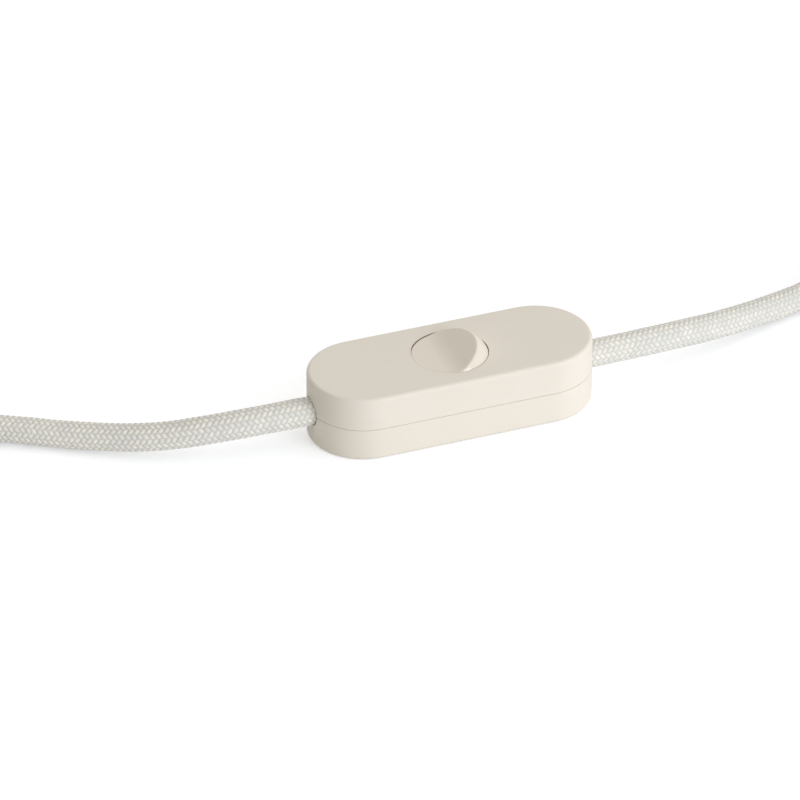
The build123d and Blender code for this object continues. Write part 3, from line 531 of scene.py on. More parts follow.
def spline_points(controls: np.ndarray) -> np.ndarray:
    """Reads points along the smooth line of a route.

    Args:
        controls: the route's control points, in metres.

    Returns:
        Points along a NURBS spline of order 3 with those control points.
    """
    curve = bpy.data.curves.new("route", "CURVE")
    curve.dimensions = "3D"
    spline = curve.splines.new("NURBS")
    spline.points.add(len(controls) - 1)
    weighted = np.column_stack([controls, np.ones(len(controls))])
    spline.points.foreach_set("co", weighted.astype(np.float32).ravel())
    spline.order_u = 3
    spline.use_endpoint_u = True
    spline.resolution_u = 24
    holder = bpy.data.objects.new("route", curve)
    bpy.context.scene.collection.objects.link(holder)
    bpy.context.view_layer.update()
    mesh = bpy.data.meshes.new_from_object(holder)
    points = np.empty(len(mesh.vertices) * 3, np.float32)
    mesh.vertices.foreach_get("co", points)
    bpy.data.objects.remove(holder)
    bpy.data.curves.remove(curve)
    bpy.data.meshes.remove(mesh)
    return points.reshape(-1, 3).astype(float)


def braid_height(along: np.ndarray, round_it: np.ndarray) -> np.ndarray:
    """Height of the braid, from 0 between stitches to 1 on their crowns.

    The phase of a stitch is the distance along, in stitches, plus half the column number plus or minus the
    lean times the place across the column, so neighbouring columns lean opposite ways and interlock. The
    height is a raised cosine of the phase, plumped by a power under one, times a rounded fall to the column's
    two edges.

    Args:
        along: distance along the cord, in stitches.
        round_it: place round the cord, in columns.

    Returns:
        The height at each point.
    """
    column = np.floor(round_it)
    across = round_it - column - 0.5
    hand = 1.0 - 2.0 * np.mod(column, 2.0)
    phase = along + 0.5 * column + hand * LEAN * across
    swell = 0.5 + 0.5 * np.cos(math.tau * phase)
    edge = 1.0 - np.abs(2.0 * across) ** FALL
    return swell**PLUMP * np.maximum(edge, 0.0) ** ROUND_OFF


@dataclass
class Hank:
    """The put-away length, folded to and fro in two rings and several layers.

    Attributes:
        side: which end of the switch it lies at.
        fold_x: X of the middle of its near fold, in mm.
        layers: number of layers.
        straight: distance between the middles of its two folds, in mm.
        rings: radii of the outer and inner ring, in mm.
        first_height: height of the lowest layer's middle, in mm.
        out_at: places of the control points on the way out, as shares of the straight.
        back_at: places of those on the way back.
        climb: how much of a layer the cord has climbed at each step of a fold.
    """

    side: Side
    fold_x: float
    layers: int
    straight: float = 56.5
    rings: tuple[float, float] = (26.0, 19.5)
    first_height: float = 3.85
    out_at: tuple[float, float] = (0.33, 0.7)
    back_at: tuple[float, float] = (0.68, 0.3)
    climb: tuple[float, ...] = (0.0, 0.04, 0.16, 0.42, 0.74, 0.95)

    def controls(self) -> np.ndarray:
        """Control points of all turns but the last near fold, which the loose end makes.

        A turn runs out along the +Y side, half a circle round the far fold, back along the other side and
        half a circle round the near fold, on a polygon drawn round the circle in steps of 30 degrees. At the
        near fold the cord moves to the next ring, or climbs to the next layer in the fold's later part.

        Returns:
            One row of X, Y, Z in mm for each point.
        """
        pairs = [self.rings if layer % 2 == 0 else self.rings[::-1] for layer in range(self.layers)]
        ring_of = [ring for pair in pairs for ring in pair]
        half_step = 15.0
        angles = np.radians(np.arange(half_step, 180.0, 2.0 * half_step))
        outside = 1.0 / math.cos(math.radians(half_step))
        turns: list[np.ndarray] = []
        for number, ring in enumerate(ring_of):
            height = self.first_height + CORD_DIAMETER * (number // 2)
            reach = ring * outside
            level = np.full(len(angles), height)
            far = np.column_stack([
                self.straight + reach * np.sin(angles), reach * np.cos(angles), level,
            ])
            out = np.array([[self.straight * share, ring, height] for share in self.out_at])
            back = np.array([[self.straight * share, -ring, height] for share in self.back_at])
            turns += [out, far, back]
            if number + 1 < len(ring_of):
                following = ring_of[number + 1]
                reach, offset = outside * (ring + following) / 2.0, (following - ring) / 2.0
                rise = CORD_DIAMETER * (number % 2)
                climbed = level + rise * np.array(self.climb)
                turns.append(np.column_stack([
                    -reach * np.sin(angles), offset - reach * np.cos(angles), climbed,
                ]))
        flat = np.concatenate(turns)
        return np.column_stack([self.fold_x + self.side.value * flat[:, 0], HANK_Y + flat[:, 1], flat[:, 2]])


@dataclass
class CordSide:
    """One side of the cord: its lead from the switch, its hank and its loose end.

    Attributes:
        name: the piece's name.
        hank: the folded length.
        lead: the lead's control points, in mm.
        tail: the loose end's control points, in mm.
        end_nodes: the CAD nodes on that end.
        replaced: the CAD nodes that the cord stands for.
        relief: depth of the modelled braid, in mm.
        fine_length: length with a modelled braid, in mm.
        lumps: how much thicker or thinner the cord gets along its length, as a share of its radius.
        fuller: how much thicker it is where it leaves the switch, as a share of its radius.
        swells: share and length, in mm, of each sine of its slow swell.
        filling: where it starts to fill out and over what length, in mm.
        bell: middle of the bell along which it thins again and its width, in mm.
        fine_step: distance between rings where the braid is modelled, in mm.
        coarse_step: about the distance between them elsewhere, in mm.
        drawn: how far the material draws the relief where it is modelled.
    """

    name: str
    hank: Hank
    lead: tuple[Point, ...]
    tail: tuple[Point, ...]
    far_end: str
    end_nodes: tuple[str, ...]
    replaced: tuple[str, ...]
    relief: float = 0.2
    fine_length: float = 100.0
    lumps: float = 0.008
    fuller: float = 0.0
    swells: tuple[tuple[float, float], ...] = ((0.6, 12.7), (0.4, 31.0))
    filling: tuple[float, float] = (9.5, 3.5)
    bell: tuple[float, float] = (12.0, 48.0)
    fine_step: float = 0.2
    coarse_step: float = 1.25
    drawn: float = 0.15

    def route(self) -> np.ndarray:
        """All control points of the cord, in metres."""
        return np.concatenate([np.array(self.lead), self.hank.controls(), np.array(self.tail)]) * MM

    def rings(
        self, stations: np.ndarray, columns: int, line: np.ndarray, run: np.ndarray, relief: float
    ) -> tuple[np.ndarray, np.ndarray]:
        """Points of the sleeve: a ring at each station, on a level side vector and its upright.

        The radius is the cord's own, less the relief where the braid dips, with a slow swell made of two
        sines whose lengths share no small multiple. In the switch's wall it fills out over a few
        millimetres, and outside it thins again along a bell curve.

        Args:
            stations: distances along the cord, in metres.
            columns: points in each ring.
            line: points of the cord's middle line.
            run: distance along the line at each of them.
            relief: depth of the modelled braid, in mm, or zero where the material draws it.

        Returns:
            The ring points and the braid coordinates of each point.
        """

        def at(distance: np.ndarray) -> np.ndarray:
            """Points of the middle line at those distances."""
            return np.column_stack([np.interp(distance, run, line[:, k]) for k in range(3)])

        ahead = 2.0 * self.fine_step * MM
        way = at(stations + ahead) - at(stations - ahead)
        way /= np.linalg.norm(way, axis=1, keepdims=True)
        side = np.cross(way, (0.0, 0.0, 1.0))
        side /= np.linalg.norm(side, axis=1, keepdims=True)
        upright = np.cross(side, way)
        turn = np.arange(columns) / columns
        along, round_it = np.meshgrid(stations / (STITCH_MM * MM), turn * COLUMNS, indexing="ij")
        swell = sum(part * np.sin(math.tau * stations / (length * MM)) for part, length in self.swells)
        plain = np.full(along.shape, self.relief / 3.0)
        sunk = relief * (1.0 - braid_height(along, round_it)) if relief else plain
        outside = np.maximum(stations / MM - self.filling[0], 0.0)
        filled = 1.0 - np.exp(-((outside / self.filling[1]) ** 2))
        thinned = np.exp(-(((outside - self.bell[0]) / self.bell[1]) ** 2))
        share = 1.0 + self.lumps * (swell - 1.0) + self.fuller * filled * thinned
        radius = (CORD_DIAMETER / 2.0 * share[:, None] - sunk) * MM
        angle = (math.tau * turn)[None, :, None]
        spoke = side[:, None, :] * np.cos(angle) + upright[:, None, :] * np.sin(angle)
        points = at(stations)[:, None, :] + radius[:, :, None] * spoke
        return points.reshape(-1, 3), np.stack([along, round_it], axis=-1).reshape(-1, 2)

    def build(self, yarn: bpy.types.Material, end_pieces: Sequence[bpy.types.Object]) -> bpy.types.Object:
        """Args:
            yarn: the braid's material.
            end_pieces: pieces beside the CAD nodes at the cord's far end; not used.

        Returns:
            The cord's object.
        """
        line = spline_points(self.route())
        run = np.concatenate([[0.0], np.cumsum(np.linalg.norm(np.diff(line, axis=0), axis=1))])
        length = float(run[-1])
        # Points in a ring where the braid is modelled, and where the material draws it
        many, few = 96, 24
        fine_rows = np.arange(0.0, self.fine_length, self.fine_step) * MM
        left_over = length - fine_rows[-1]
        coarse_start = fine_rows[-1] + 2.0 * self.fine_step * MM
        coarse_rows = np.linspace(coarse_start, length, int(left_over / (self.coarse_step * MM)))
        fine_points, fine_uv = self.rings(fine_rows, many, line, run, self.relief)
        coarse_points, coarse_uv = self.rings(coarse_rows, few, line, run, 0.0)
        base = len(fine_points)
        quads = np.concatenate([ring_quads(len(fine_rows), many), ring_quads(len(coarse_rows), few, base)])
        braid = np.concatenate([fine_uv, coarse_uv])
        uv = braid[quads]
        # The last corner round the cord takes the full count of columns, not zero
        wrapped = np.ptp(uv[:, :, 1], axis=1) > COLUMNS / 2
        uv[wrapped, :, 1] = np.where(uv[wrapped, :, 1] < 1.0, uv[wrapped, :, 1] + COLUMNS, uv[wrapped, :, 1])
        # A row of seven-cornered faces joins four fine points to each coarse one
        ratio = many // few
        last = (len(fine_rows) - 1) * many
        spot = np.arange(few)
        joint = np.column_stack(
            [base + spot, base + (spot + 1) % few]
            + [last + (spot * ratio + ratio - k) % many for k in range(ratio + 1)]
        )
        joint_uv = np.tile(braid[last], (few * (ratio + 3), 1))
        end_ring = base + (len(coarse_rows) - 1) * few
        caps = [list(range(many)), list(range(end_ring, end_ring + few))[::-1]]
        faces = quads.tolist() + joint.tolist() + caps
        uvs = np.concatenate([uv.reshape(-1, 2), joint_uv, np.zeros((many + few, 2))])
        shares = np.concatenate([np.full(base, self.drawn), np.ones(len(coarse_points))])
        cord = piece_from(self.name, yarn, np.concatenate([fine_points, coarse_points]), faces, uvs, shares)
        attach(cord, HOUSING)
        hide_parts(*self.replaced)
        LOG.info("%s is %.2f m long", self.name, length)
        return cord


@dataclass
class HankTies:
    """Two woven bands that hold a hank, one round each of its long sides.

    Attributes:
        name: the piece's name.
        middle_x: X of the bands' middles, in mm.
        layers: layers of cord that they hold.
        node: the CAD node that they stand for.
        bundle_y: distance of a bundle's middle from the hank's middle line, in mm.
        base: height of the bundle's underside, in mm.
        width: of the tape, in mm.
        thickness: of the tape, in mm.
        power: of the squared oval that the tape follows.
        slack: room between cord and tape across and upwards, in mm.
        lap: angle of the free end's middle, half its spread and its slope, in radians.
        lap_thickness: how much thicker the band is there, as a share of the tape.
    """

    name: str
    middle_x: float
    layers: int
    node: str
    bundle_y: float = 22.75
    base: float = 0.6
    width: float = 6.0
    thickness: float = 0.6
    power: float = 8.0
    slack: tuple[float, float] = (0.06, 0.02)
    lap: tuple[float, float, float] = (0.9, 0.55, 0.12)
    lap_thickness: float = 0.75

    def build(self, tape: bpy.types.Material) -> bpy.types.Object:
        """Builds both bands as closed strips round a squared oval.

        The strip's line is a superellipse about the bundle: one over the power root of the sum of the cosine
        over the half width and the sine over the half height, each to that power. Its section is a flat
        rectangle with eased edges, and it is thicker where its free end lies on it.

        Args:
            tape: the bands' material.

        Returns:
            The object with both bands.
        """
        count = 144
        angle = circle(count)
        half_y, half_z = CORD_DIAMETER + self.slack[0], self.layers * CORD_DIAMETER / 2.0 + self.slack[1]
        total = np.abs(np.cos(angle) / half_y) ** self.power + np.abs(np.sin(angle) / half_z) ** self.power
        inner = total ** (-1.0 / self.power)
        middle, spread, slope = self.lap
        overlap = np.clip((spread - np.abs(angle - middle)) / slope, 0.0, 1.0)
        thick = self.thickness * (1.0 + self.lap_thickness * overlap)
        # The section's corners, across the tape in mm and outward as shares of its thickness
        half, ease = self.width / 2.0, 0.15
        across = np.array([-half + ease, half - ease, half, half, half - ease, -half + ease, -half, -half])
        depth = np.array([0.0, 0.0, 0.2, 0.8, 1.0, 1.0, 0.8, 0.2])
        radius = inner[:, None] + thick[:, None] * depth[None, :]
        strips, faces, uvs = [], [], []
        middle_z = self.base + self.layers * CORD_DIAMETER / 2.0
        for number, sign in enumerate((-1.0, 1.0)):
            points = np.stack([
                np.broadcast_to(self.middle_x + across[None, :], radius.shape),
                HANK_Y + sign * (self.bundle_y + np.cos(angle)[:, None] * radius),
                middle_z + np.sin(angle)[:, None] * radius,
            ], axis=-1)
            first = number * radius.size
            quads = ring_quads(count, len(across), first, closed_rows=True)
            strips.append(points.reshape(-1, 3))
            faces.append(quads if sign < 0 else quads[:, ::-1])
            # The weave is measured along one outer corner
            steps = np.hypot(np.diff(points[:, 4, 1]), np.diff(points[:, 4, 2]))
            girth = np.concatenate([[0.0], np.cumsum(steps)])
            place = np.stack(np.broadcast_arrays(girth[:, None], across[None, :]), axis=-1).reshape(-1, 2)
            uvs.append(place[faces[-1] - first].reshape(-1, 2))
        bands = piece_from(
            self.name, tape, np.concatenate(strips) * MM, np.concatenate(faces).tolist(), np.concatenate(uvs)
        )
        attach(bands, HOUSING)
        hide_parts(self.node)
        return bands


@dataclass
class Screw:
    """A machine screw: a domed head with its recess and a threaded shank.

    Attributes:
        seat: middle of the head's underside, in mm.
        upright: 1 where the shank points up, and -1 where it points down.
        head: radius and height of the head, in mm.
        shank: radius and length of the shank, in mm.
        drive: the recess in its head.
        pitch: of the thread, in mm.
    """

    seat: Point
    upright: int
    head: tuple[float, float]
    shank: tuple[float, float]
    drive: Drive
    pitch: float = 0.6

    def surface(self) -> np.ndarray:
        """Rings of points from the middle of the head to the end of the shank, in mm.

        The head's face is a shallow dome with a recess sunk in it: a bar, or two crossed bars, whose floor
        rises towards their ends and whose walls slope over a tenth of the head. The shank's radius is a
        triangle wave of the height in pitches less the angle in turns.

        Returns:
            One row of points for each ring, with Z along the shank.
        """
        radius, height = self.head
        thin, length = self.shank
        count = 48
        # Fall of the dome, depth of the recess and depth of the bevelled rim, as shares of the head's height
        rise, sink, rim = 0.22, 0.52, 0.3
        # Depth of the thread and radius of the point, as shares of the shank's, and length of the point in mm
        tooth_depth, point, point_length = 0.16, 0.55, 0.8
        angle = circle(count)
        # Rings from the middle of the face out to its edge, and two down the rim
        reach = radius * np.concatenate([[0.004], np.linspace(0.03, 0.92, 34), [0.97, 1.0, 1.0]])
        x, y = reach[:, None] * np.cos(angle), reach[:, None] * np.sin(angle)
        dome = rise * height * (reach / radius)[:, None] ** 2 * np.ones(count)
        bar, wall = 0.16 * radius, 0.1 * radius
        ends = 0.62 * radius if self.drive is Drive.CROSS else 2.0 * radius
        arms = [(x, y), (y, x)] if self.drive is Drive.CROSS else [(x, y)]
        sunk = [
            np.clip((bar - np.abs(b)) / wall + 1.0, 0.0, 1.0)
            * np.clip((ends - np.abs(a)) / (2.0 * wall), 0.0, 1.0)
            for a, b in arms
        ]
        face = dome + sink * height * np.maximum.reduce(sunk)
        face[-2] = rim * height
        face[-1] = height
        rings = [np.stack([x, y, face - height], axis=-1)]
        # Six rings to each turn of the thread
        levels = np.concatenate([[0.0, 0.02], np.arange(0.1, length, self.pitch / 6.0), [length]])
        turns = levels[:, None] / self.pitch - angle[None, :] / math.tau
        tooth = np.abs(2.0 * (turns - np.floor(turns)) - 1.0)
        taper = np.clip((length - levels) / point_length, point, 1.0)[:, None]
        around = thin * taper * (1.0 - tooth_depth * tooth)
        rings.append(np.stack([
            around * np.cos(angle), around * np.sin(angle), np.broadcast_to(levels[:, None], around.shape),
        ], axis=-1))
        return np.concatenate(rings)

    def mesh(self, first: int) -> tuple[np.ndarray, list[list[int]]]:
        """The screw's points where it sits, and its faces.

        Args:
            first: number of its first point.

        Returns:
            Points in metres, and the point numbers of each face.
        """
        rings = self.surface()
        rows, count = rings.shape[:2]
        points = rings.reshape(-1, 3) * (1.0, 1.0, self.upright) + np.array(self.seat)
        faces = ring_quads(rows, count, first).tolist() + end_caps(rows, count, first)
        turned = faces if self.upright < 0 else [face[::-1] for face in faces]
        return points * MM, turned


def screw_set(name: str, screws: Sequence[Screw], metal: bpy.types.Material) -> bpy.types.Object:
    """Builds several like screws as one piece.

    Args:
        name: the piece's name.
        screws: the screws.
        metal: their material.

    Returns:
        The piece.
    """
    points: list[np.ndarray] = []
    faces: list[list[int]] = []
    for screw in screws:
        there, sides = screw.mesh(sum(len(part) for part in points))
        points.append(there)
        faces += sides
    piece = piece_from(name, metal, np.concatenate(points), faces)
    piece.data.set_sharp_from_angle(angle=math.radians(SHARP_EDGE))
    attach(piece, HOUSING)
    return piece


@dataclass
class LampThread:
    """The rolled screw shell of the lamp holder.

    Attributes:
        start: X of its inner end, in mm.
        length: along X, in mm.
        radii: smallest and largest radius of its inner face, in mm.
        wall: thickness of the sheet, in mm.
        pitch: of the thread, in mm.
        run_out: length over which the roll fades out at each rim, in mm.
    """

    start: float = 215.255
    length: float = 21.0
    radii: tuple[float, float] = (12.75, 13.42)
    wall: float = 0.33
    pitch: float = 3.629
    run_out: float = 1.5

    def build(self, metal: bpy.types.Material) -> bpy.types.Object:
        """Builds the shell as a closed sheet that rolls in and out along a right-hand helix.

        The inner face's radius is halfway between its two radii plus half their difference times the cosine
        of the distance along, in pitches, less the angle in turns. The roll fades out at both plain rims.

        Args:
            metal: the shell's material.

        Returns:
            The shell's object.
        """
        count, rows = 144, 106
        angle = circle(count)
        along = np.linspace(0.0, self.length, rows)
        turns = along[:, None] / self.pitch - angle[None, :] / math.tau
        fade = np.clip(np.minimum(along, self.length - along) / self.run_out, 0.0, 1.0)[:, None]
        middle, half = sum(self.radii) / 2.0, (self.radii[1] - self.radii[0]) / 2.0
        inner = middle + half * (1.0 - fade) + half * fade * np.cos(math.tau * turns)
        radius = np.concatenate([inner, (inner + self.wall)[::-1]])
        x = self.start + np.concatenate([along, along[::-1]])[:, None]
        y, z = HANK_Y + radius * np.cos(angle), HOLDER_HEIGHT + radius * np.sin(angle)
        points = np.stack([np.broadcast_to(x, radius.shape), y, z], axis=-1)
        quads = ring_quads(len(radius), count, closed_rows=True)
        shell = piece_from("lamp_thread", metal, points.reshape(-1, 3) * MM, quads.tolist())
        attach(shell, HOUSING)
        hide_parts("screw_shell")
        return shell


@dataclass
class CoilSpring:
    """The plunger's coil spring, which shortens as the plunger slides into the rocker's hub.

    Attributes:
        pivot: middle of the rocker's axle, in mm.
        lean: degrees that the spring leans to the left at rest.
        foot: distance from the pivot up to the wire's middle at the spring's lower end, in mm.
        height: between the wire's middles at its two ends, in mm.
        coil: radius of the coil, in mm.
        wire: diameter of the wire, in mm.
        turns: number of turns.
        flatness: how much flatter the helix is at its ends.
    """

    pivot: Point = (0.0, 0.0, 11.7)
    lean: float = 13.0
    foot: float = -1.38
    height: float = 3.96
    coil: float = 1.05
    wire: float = 0.34
    turns: float = 4.0
    flatness: float = 0.6

    def build(self, steel: bpy.types.Material) -> None:
        """Builds the spring.

        The wire's middle climbs a helix that is flatter at both ends: its rise, as a share of the height, is
        the share of the way along less the flatness times one whole sine wave of it.

        Args:
            steel: the wire's material.
        """
        rows, count = 160, 10
        share = np.linspace(0.0, 1.0, rows)
        turn = math.tau * self.turns * share
        rise = self.foot + self.height * (share - self.flatness * np.sin(math.tau * share) / math.tau)
        out = np.stack([np.cos(turn), np.sin(turn), np.zeros(rows)], axis=-1)
        middle = self.coil * out + rise[:, None] * np.array([0.0, 0.0, 1.0])
        ahead = np.gradient(middle, axis=0)
        ahead /= np.linalg.norm(ahead, axis=1, keepdims=True)
        aside = np.cross(ahead, out)
        angle = circle(count)[:, None]
        ring = out[:, None] * np.cos(angle) - aside[:, None] * np.sin(angle)
        tilt = np.array(Matrix.Rotation(math.radians(-self.lean), 3, "Y"))
        level = (middle[:, None] + 0.5 * self.wire * ring).reshape(-1, 3)
        faces = ring_quads(rows, count).tolist() + end_caps(rows, count)
        spring = piece_from("coil_spring", steel, (level @ tilt.T + np.array(self.pivot)) * MM, faces)
        ends = np.array([[0.0, 0.0, self.foot + self.height], [0.0, 0.0, self.foot]])
        ends = ends @ tilt.T + np.array(self.pivot)
        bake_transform(spring)
        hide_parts("plunger_spring")


@dataclass
class Studio:
    """Camera, white surroundings, floor, dark card and soft light.

    Attributes:
        azimuth: degrees of the camera round the switch, 0 looks along +Y.
        elevation: degrees of the camera above the horizon.
        distance: from the origin to the eye, in mm.
        aside: shift of the aim to the camera's right and up, in mm.
        lens: focal length, in mm.
        sensor: width of the camera's sensor, in mm.
        sight: how far the camera sees, in metres.
        glow: strength of the surroundings' light.
        paper: white added to the seen floor, on top of the lit paper that takes the shadow.
    """

    azimuth: float = -20.389
    elevation: float = 33.322
    distance: float = 1736.7
    aside: tuple[float, float] = (11.727, -2.666)
    lens: float = 331.18
    sensor: float = 36.0
    sight: float = 20.0
    glow: float = 0.865
    paper: float = 0.33

    def camera(self) -> None:
        """Places the photograph's camera."""
        around, above = math.radians(self.azimuth), math.radians(self.elevation)
        back = np.array([
            math.sin(around) * math.cos(above), -math.cos(around) * math.cos(above), math.sin(above),
        ])
        right = np.array([math.cos(around), math.sin(around), 0.0])
        up = np.cross(back, right)
        eye = (back * self.distance - right * self.aside[0] - up * self.aside[1]) * MM
        data = bpy.data.cameras.new("camera")
        data.lens = self.lens
        data.sensor_width = self.sensor
        data.clip_end = self.sight
        camera = bpy.data.objects.new("camera", data)
        stand = np.vstack([np.column_stack([right, up, back, eye]), (0.0, 0.0, 0.0, 1.0)])
        camera.matrix_world = Matrix(stand.tolist())
        bpy.context.scene.collection.objects.link(camera)
        bpy.context.scene.camera = camera

    def seen(self, tree: bpy.types.NodeTree) -> bpy.types.NodeSocket:
        """One where the camera, a reflection or a refraction sees the surroundings, and zero for their light.

        Args:
            tree: the tree that gets the nodes.

        Returns:
            The socket with that number.
        """
        light = add_node(tree, "LightPath")
        either = add_node(tree, "Math", {
            0: light.outputs["Is Camera Ray"], 1: light.outputs["Is Glossy Ray"],
        }, operation="MAXIMUM")
        return add_node(tree, "Math", {
            0: either.outputs[0], 1: light.outputs["Is Transmission Ray"],
        }, operation="MAXIMUM").outputs[0]

    def world(self) -> None:
        """White surroundings, slightly warm where they light the object."""
        world = bpy.data.worlds.new("white_room")
        world.use_nodes = True
        world.node_tree.nodes.clear()
        tree = world.node_tree
        lit = add_node(tree, "Background", {"Color": linear("#FFFEFB"), "Strength": self.glow})
        shown = add_node(tree, "Background", {"Color": WHITE, "Strength": 1.0})
        both = add_node(tree, "MixShader", {0: self.seen(tree), 1: lit.outputs[0], 2: shown.outputs[0]})
        add_node(tree, "OutputWorld", {"Surface": both.outputs[0]})
        bpy.context.scene.world = world

    def floor(self) -> None:
        """A white table that shows only the faint contact shadow."""
        material, tree = new_material("white_paper")
        paper = add_node(tree, "BsdfDiffuse", {"Color": linear("#F8F8F8")})
        # Slightly blue: unshadowed, the seen floor clips to white, so the tint shows only in its shadows as a
        # painted cool tint of the shade
        shaded = add_node(tree, "BsdfDiffuse", {"Color": linear("#F3F5F8")})
        glow = add_node(tree, "Emission", {"Color": WHITE, "Strength": self.paper})
        shown = add_node(tree, "AddShader", {0: shaded.outputs[0], 1: glow.outputs[0]})
        both = add_node(tree, "MixShader", {0: self.seen(tree), 1: paper.outputs[0], 2: shown.outputs[0]})
        add_node(tree, "OutputMaterial", {"Surface": both.outputs[0]})
        reach = 3.0
        corners = np.array([
            [-reach, -reach, 0.0], [reach, -reach, 0.0], [reach, reach, 0.0], [-reach, reach, 0.0],
        ])
        floor = piece_from("floor", material, corners, [[0, 1, 2, 3]])

    def dark_card(self) -> None:
        """A dark card left of the picture, which shades the left end as in the photograph."""
        material, tree = new_material("black_card")
        felt = add_node(tree, "BsdfDiffuse", {"Color": linear("#202020")})
        add_node(tree, "OutputMaterial", {"Surface": felt.outputs[0]})
        aside, reach, height = -1.0, 1.25, 0.9
        corners = np.array([
            [aside, -reach, 0.0], [aside, reach, 0.0], [aside, reach, height], [aside, -reach, height],
        ])
        card = piece_from("dark_card", material, corners, [[0, 1, 2, 3]])
        card.visible_camera = False

    def lamp(self, name: str, place: Point, width: float, power: float, colour: str) -> None:
        """Hangs one square soft lamp that faces the switch.

        Args:
            name: the lamp's name.
            place: its middle, in metres.
            width: its side, in metres.
            power: its power in watts.
            colour: sRGB hex of its light.
        """
        data = bpy.data.lights.new(name, "AREA")
        data.shape = "SQUARE"
        data.size = width
        data.energy = power
        data.color = linear(colour)[:3]
        lamp = bpy.data.objects.new(name, data)
        lamp.location = place
        lamp.rotation_mode = "QUATERNION"
        lamp.rotation_quaternion = (-Vector(place)).to_track_quat("-Z", "Y")
        bpy.context.scene.collection.objects.link(lamp)

    def build(self) -> None:
        """Builds the whole studio."""
        bpy.context.scene.view_settings.view_transform = "Standard"
        self.camera()
        self.world()
        self.floor()
        self.dark_card()
        self.lamp("key_softbox", place=(0.84, -1.42, 0.34), width=0.6, power=12.2, colour="#EAF2FF")


LEFT_CORD = CordSide(
    name="plug_cord",
    hank=Hank(Side.LEFT, fold_x=-142.5, layers=4),
    lead=(
        (-22.0, 0.0, 8.2),
        (-39.0, 0.0, 8.2),
        (-55.0, 1.5, 7.4),
        (-71.0, 6.1, 5.0),
        (-87.0, 15.1, 3.65),
        (-103.0, 25.0, 3.6),
        (-118.5, 31.6, 3.7),
        (-134.0, 33.8, 3.85),
    ),
    tail=(
        (-158.5, -18.0, 23.45),
        (-137.1, -18.0, 26.35),
        (-127.6, -12.8, 28.75),
        (-121.9, -3.65, 29.95),
        (-121.2, 7.15, 30.05),
        (-125.85, 16.9, 30.45),
        (-134.6, 23.2, 31.55),
        (-145.4, 24.5, 32.75),
        (-155.9, 20.2, 33.45),
        (-165.2, 16.5, 33.45),
        (-174.4, 12.75, 33.45),
    ),
    far_end="plug",
    end_nodes=("plug_body", "plug_pins", "pin_sleeves", "plug_boot"),
    replaced=("left_cord", "left_hank", "left_tail"),
    fuller=0.085,
)
RIGHT_CORD = CordSide(
    name="lamp_cord",
    hank=Hank(Side.RIGHT, fold_x=138.5, layers=2),
    lead=(
        (22.0, 0.0, 8.2),
        (39.0, 0.0, 8.2),
        (55.0, 1.3, 7.6),
        (71.0, 4.8, 5.6),
        (86.0, 9.75, 3.8),
        (99.0, 13.6, 3.4),
        (109.0, 21.0, 3.5),
        (118.0, 28.5, 3.7),
        (130.0, 33.0, 3.85),
        (142.0, 34.0, 3.85),
    ),
    tail=(
        (154.5, -18.0, 10.45),
        (133.2, -18.0, 13.35),
        (124.0, -13.05, 15.75),
        (118.1, -4.3, 16.95),
        (117.1, 6.1, 17.9),
        (121.1, 15.9, 19.8),
        (129.2, 22.5, 22.3),
        (139.5, 24.6, 25.3),
        (149.6, 21.6, 28.3),
        (158.1, 13.15, 31.1),
        (170.5, 8.0, 32.7),
        (180.0, 8.0, 32.7),
        (189.2, 8.0, 32.7),
    ),
    far_end="fitting",
    end_nodes=("holder_grip", "holder_cap", "holder_body", "centre_tongue", "wiring_lugs"),
    replaced=("right_cord", "right_hank", "right_tail"),
    fuller=0.05,
)
HOUSING_SCREWS = [
    Screw((x, y, 3.2), upright=1, head=(2.1, 1.6), shank=(0.92, 9.0), drive=Drive.CROSS)
    for x, y in ((-21.3, 9.4), (21.3, -9.4))
]
CLAMP_SCREWS = [
    Screw((x, y, 13.4), upright=-1, head=(1.75, 1.1), shank=(0.78, 9.0), drive=Drive.CROSS)
    for x in (-26.0, 26.0) for y in (-5.8, 5.8)
]
TERMINAL_SCREWS = [
    Screw((x, y, 7.3), upright=-1, head=(1.5, 0.9), shank=(1.06, 2.0), drive=Drive.SLOT)
    for x, y in ((-11.5, 6.5), (11.5, 6.5), (-5.5, -7.5), (5.5, -7.5))
]
LUG_SCREWS = [
    Screw((203.255, y, 36.2), upright=-1, head=(1.7, 1.0), shank=(1.06, 3.0), drive=Drive.SLOT)
    for y in (-1.0, 17.0)
]


def dress(materials: dict[str, bpy.types.Material]) -> None:
    """Puts materials on CAD nodes.

    Args:
        materials: each node's name and its material.
    """
    for node, material in materials.items():
        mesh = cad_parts[node].data
        mesh.materials.clear()
        mesh.materials.append(material)
        LOG.info("%s dressed in %s", node, material.name)


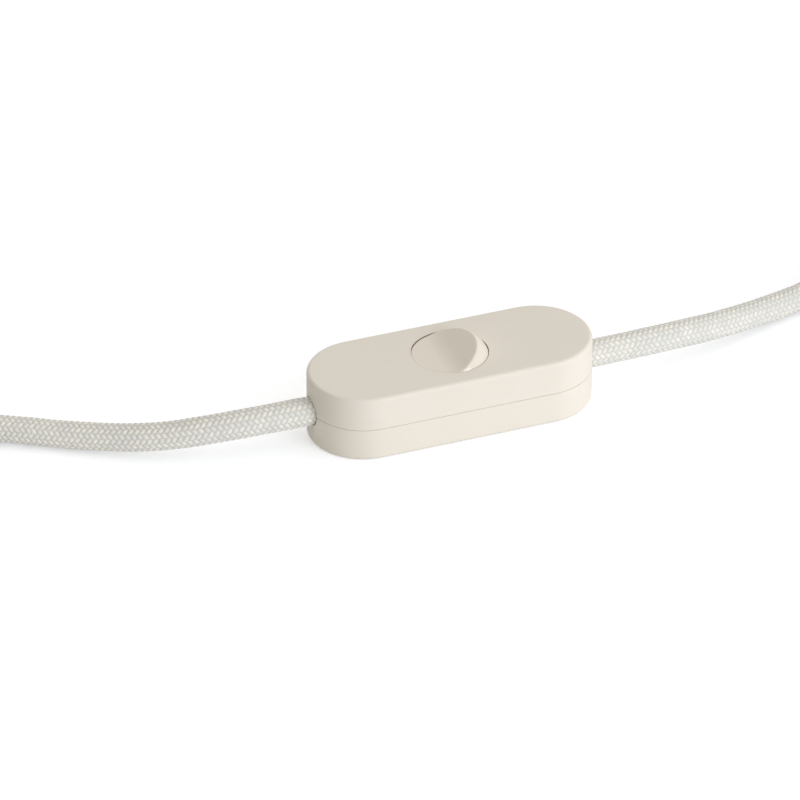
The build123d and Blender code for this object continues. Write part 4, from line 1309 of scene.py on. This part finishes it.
def main() -> None:
    """Builds the studio, the cords and the small pieces, and dresses the CAD nodes."""
    logging.basicConfig(level=logging.INFO, format="%(message)s")
    Studio().build()
    brass = DrawnMetal("stamped_brass", "#D8B56A").material()
    nickel = DrawnMetal("nickel_plated_brass", "#C9C5BC", roughness=0.24).material()
    steel = DrawnMetal("drawn_spring_steel", "#B8BABF").material()
    silver = DrawnMetal("silver_contact", "#E6E4DE", roughness=0.2).material()
    zinc = DrawnMetal("zinc_plated_steel", "#BFC3C6", roughness=0.32, mark_mm=0.3, stretch=1.0).material()

    tape = WovenTape("woven_tape", "#E4E1D9").material()
    HankTies("plug_cord_ties", middle_x=-166.0, layers=4, node="left_ties").build(tape)
    HankTies("lamp_cord_ties", middle_x=162.0, layers=2, node="right_ties").build(tape)
    CoilSpring().build(steel)
    screw_set("housing_screws", HOUSING_SCREWS, zinc)
    screw_set("clamp_screws", CLAMP_SCREWS, zinc)
    screw_set("terminal_screws", TERMINAL_SCREWS, brass)
    thread = LampThread().build(nickel)
    lug_screws = screw_set("lug_screws", LUG_SCREWS, brass)
    yarn = BraidedYarn("braided_polyester_yarn", "#E1DFD8", "#CBC9C3", "#EFEADF").material()
    LEFT_CORD.build(yarn, [])
    RIGHT_CORD.build(yarn, [thread, lug_screws])

    housing = MouldedPlastic("satin_moulded_abs", "#E8E0D4").material()
    rocker = MouldedPlastic("smooth_moulded_abs", "#E6DDCF", roughness=0.2, grit_depth_mm=0.001).material()
    inner = MouldedPlastic("moulded_polyamide", "#DCD9D0", roughness=0.5).material()
    plug = MouldedPlastic("moulded_pvc", "#E8E3D8", roughness=0.46).material()
    brown = MouldedPlastic("brown_pvc_insulation", "#6B4226", roughness=0.4).material()
    blue = MouldedPlastic("blue_pvc_insulation", "#2A5C9E", roughness=0.4).material()
    dress({
        "upper_shell": housing, "lower_shell": housing, "rocker": rocker, "plunger": inner,
        "seesaw": brass, "moving_contact": silver, "common_terminal": brass, "fixed_contact": brass,
        "neutral_link": brass, "live_wire_left": brown, "live_wire_right": brown,
        "neutral_wire_left": blue, "neutral_wire_right": blue, "left_clamp": inner, "right_clamp": inner,
        "plug_body": plug, "plug_boot": plug, "plug_pins": nickel, "pin_sleeves": plug,
        "holder_grip": plug, "holder_cap": plug, "holder_body": plug,
        "centre_tongue": brass, "wiring_lugs": brass,
    })


if __name__ == "__main__":
    main()
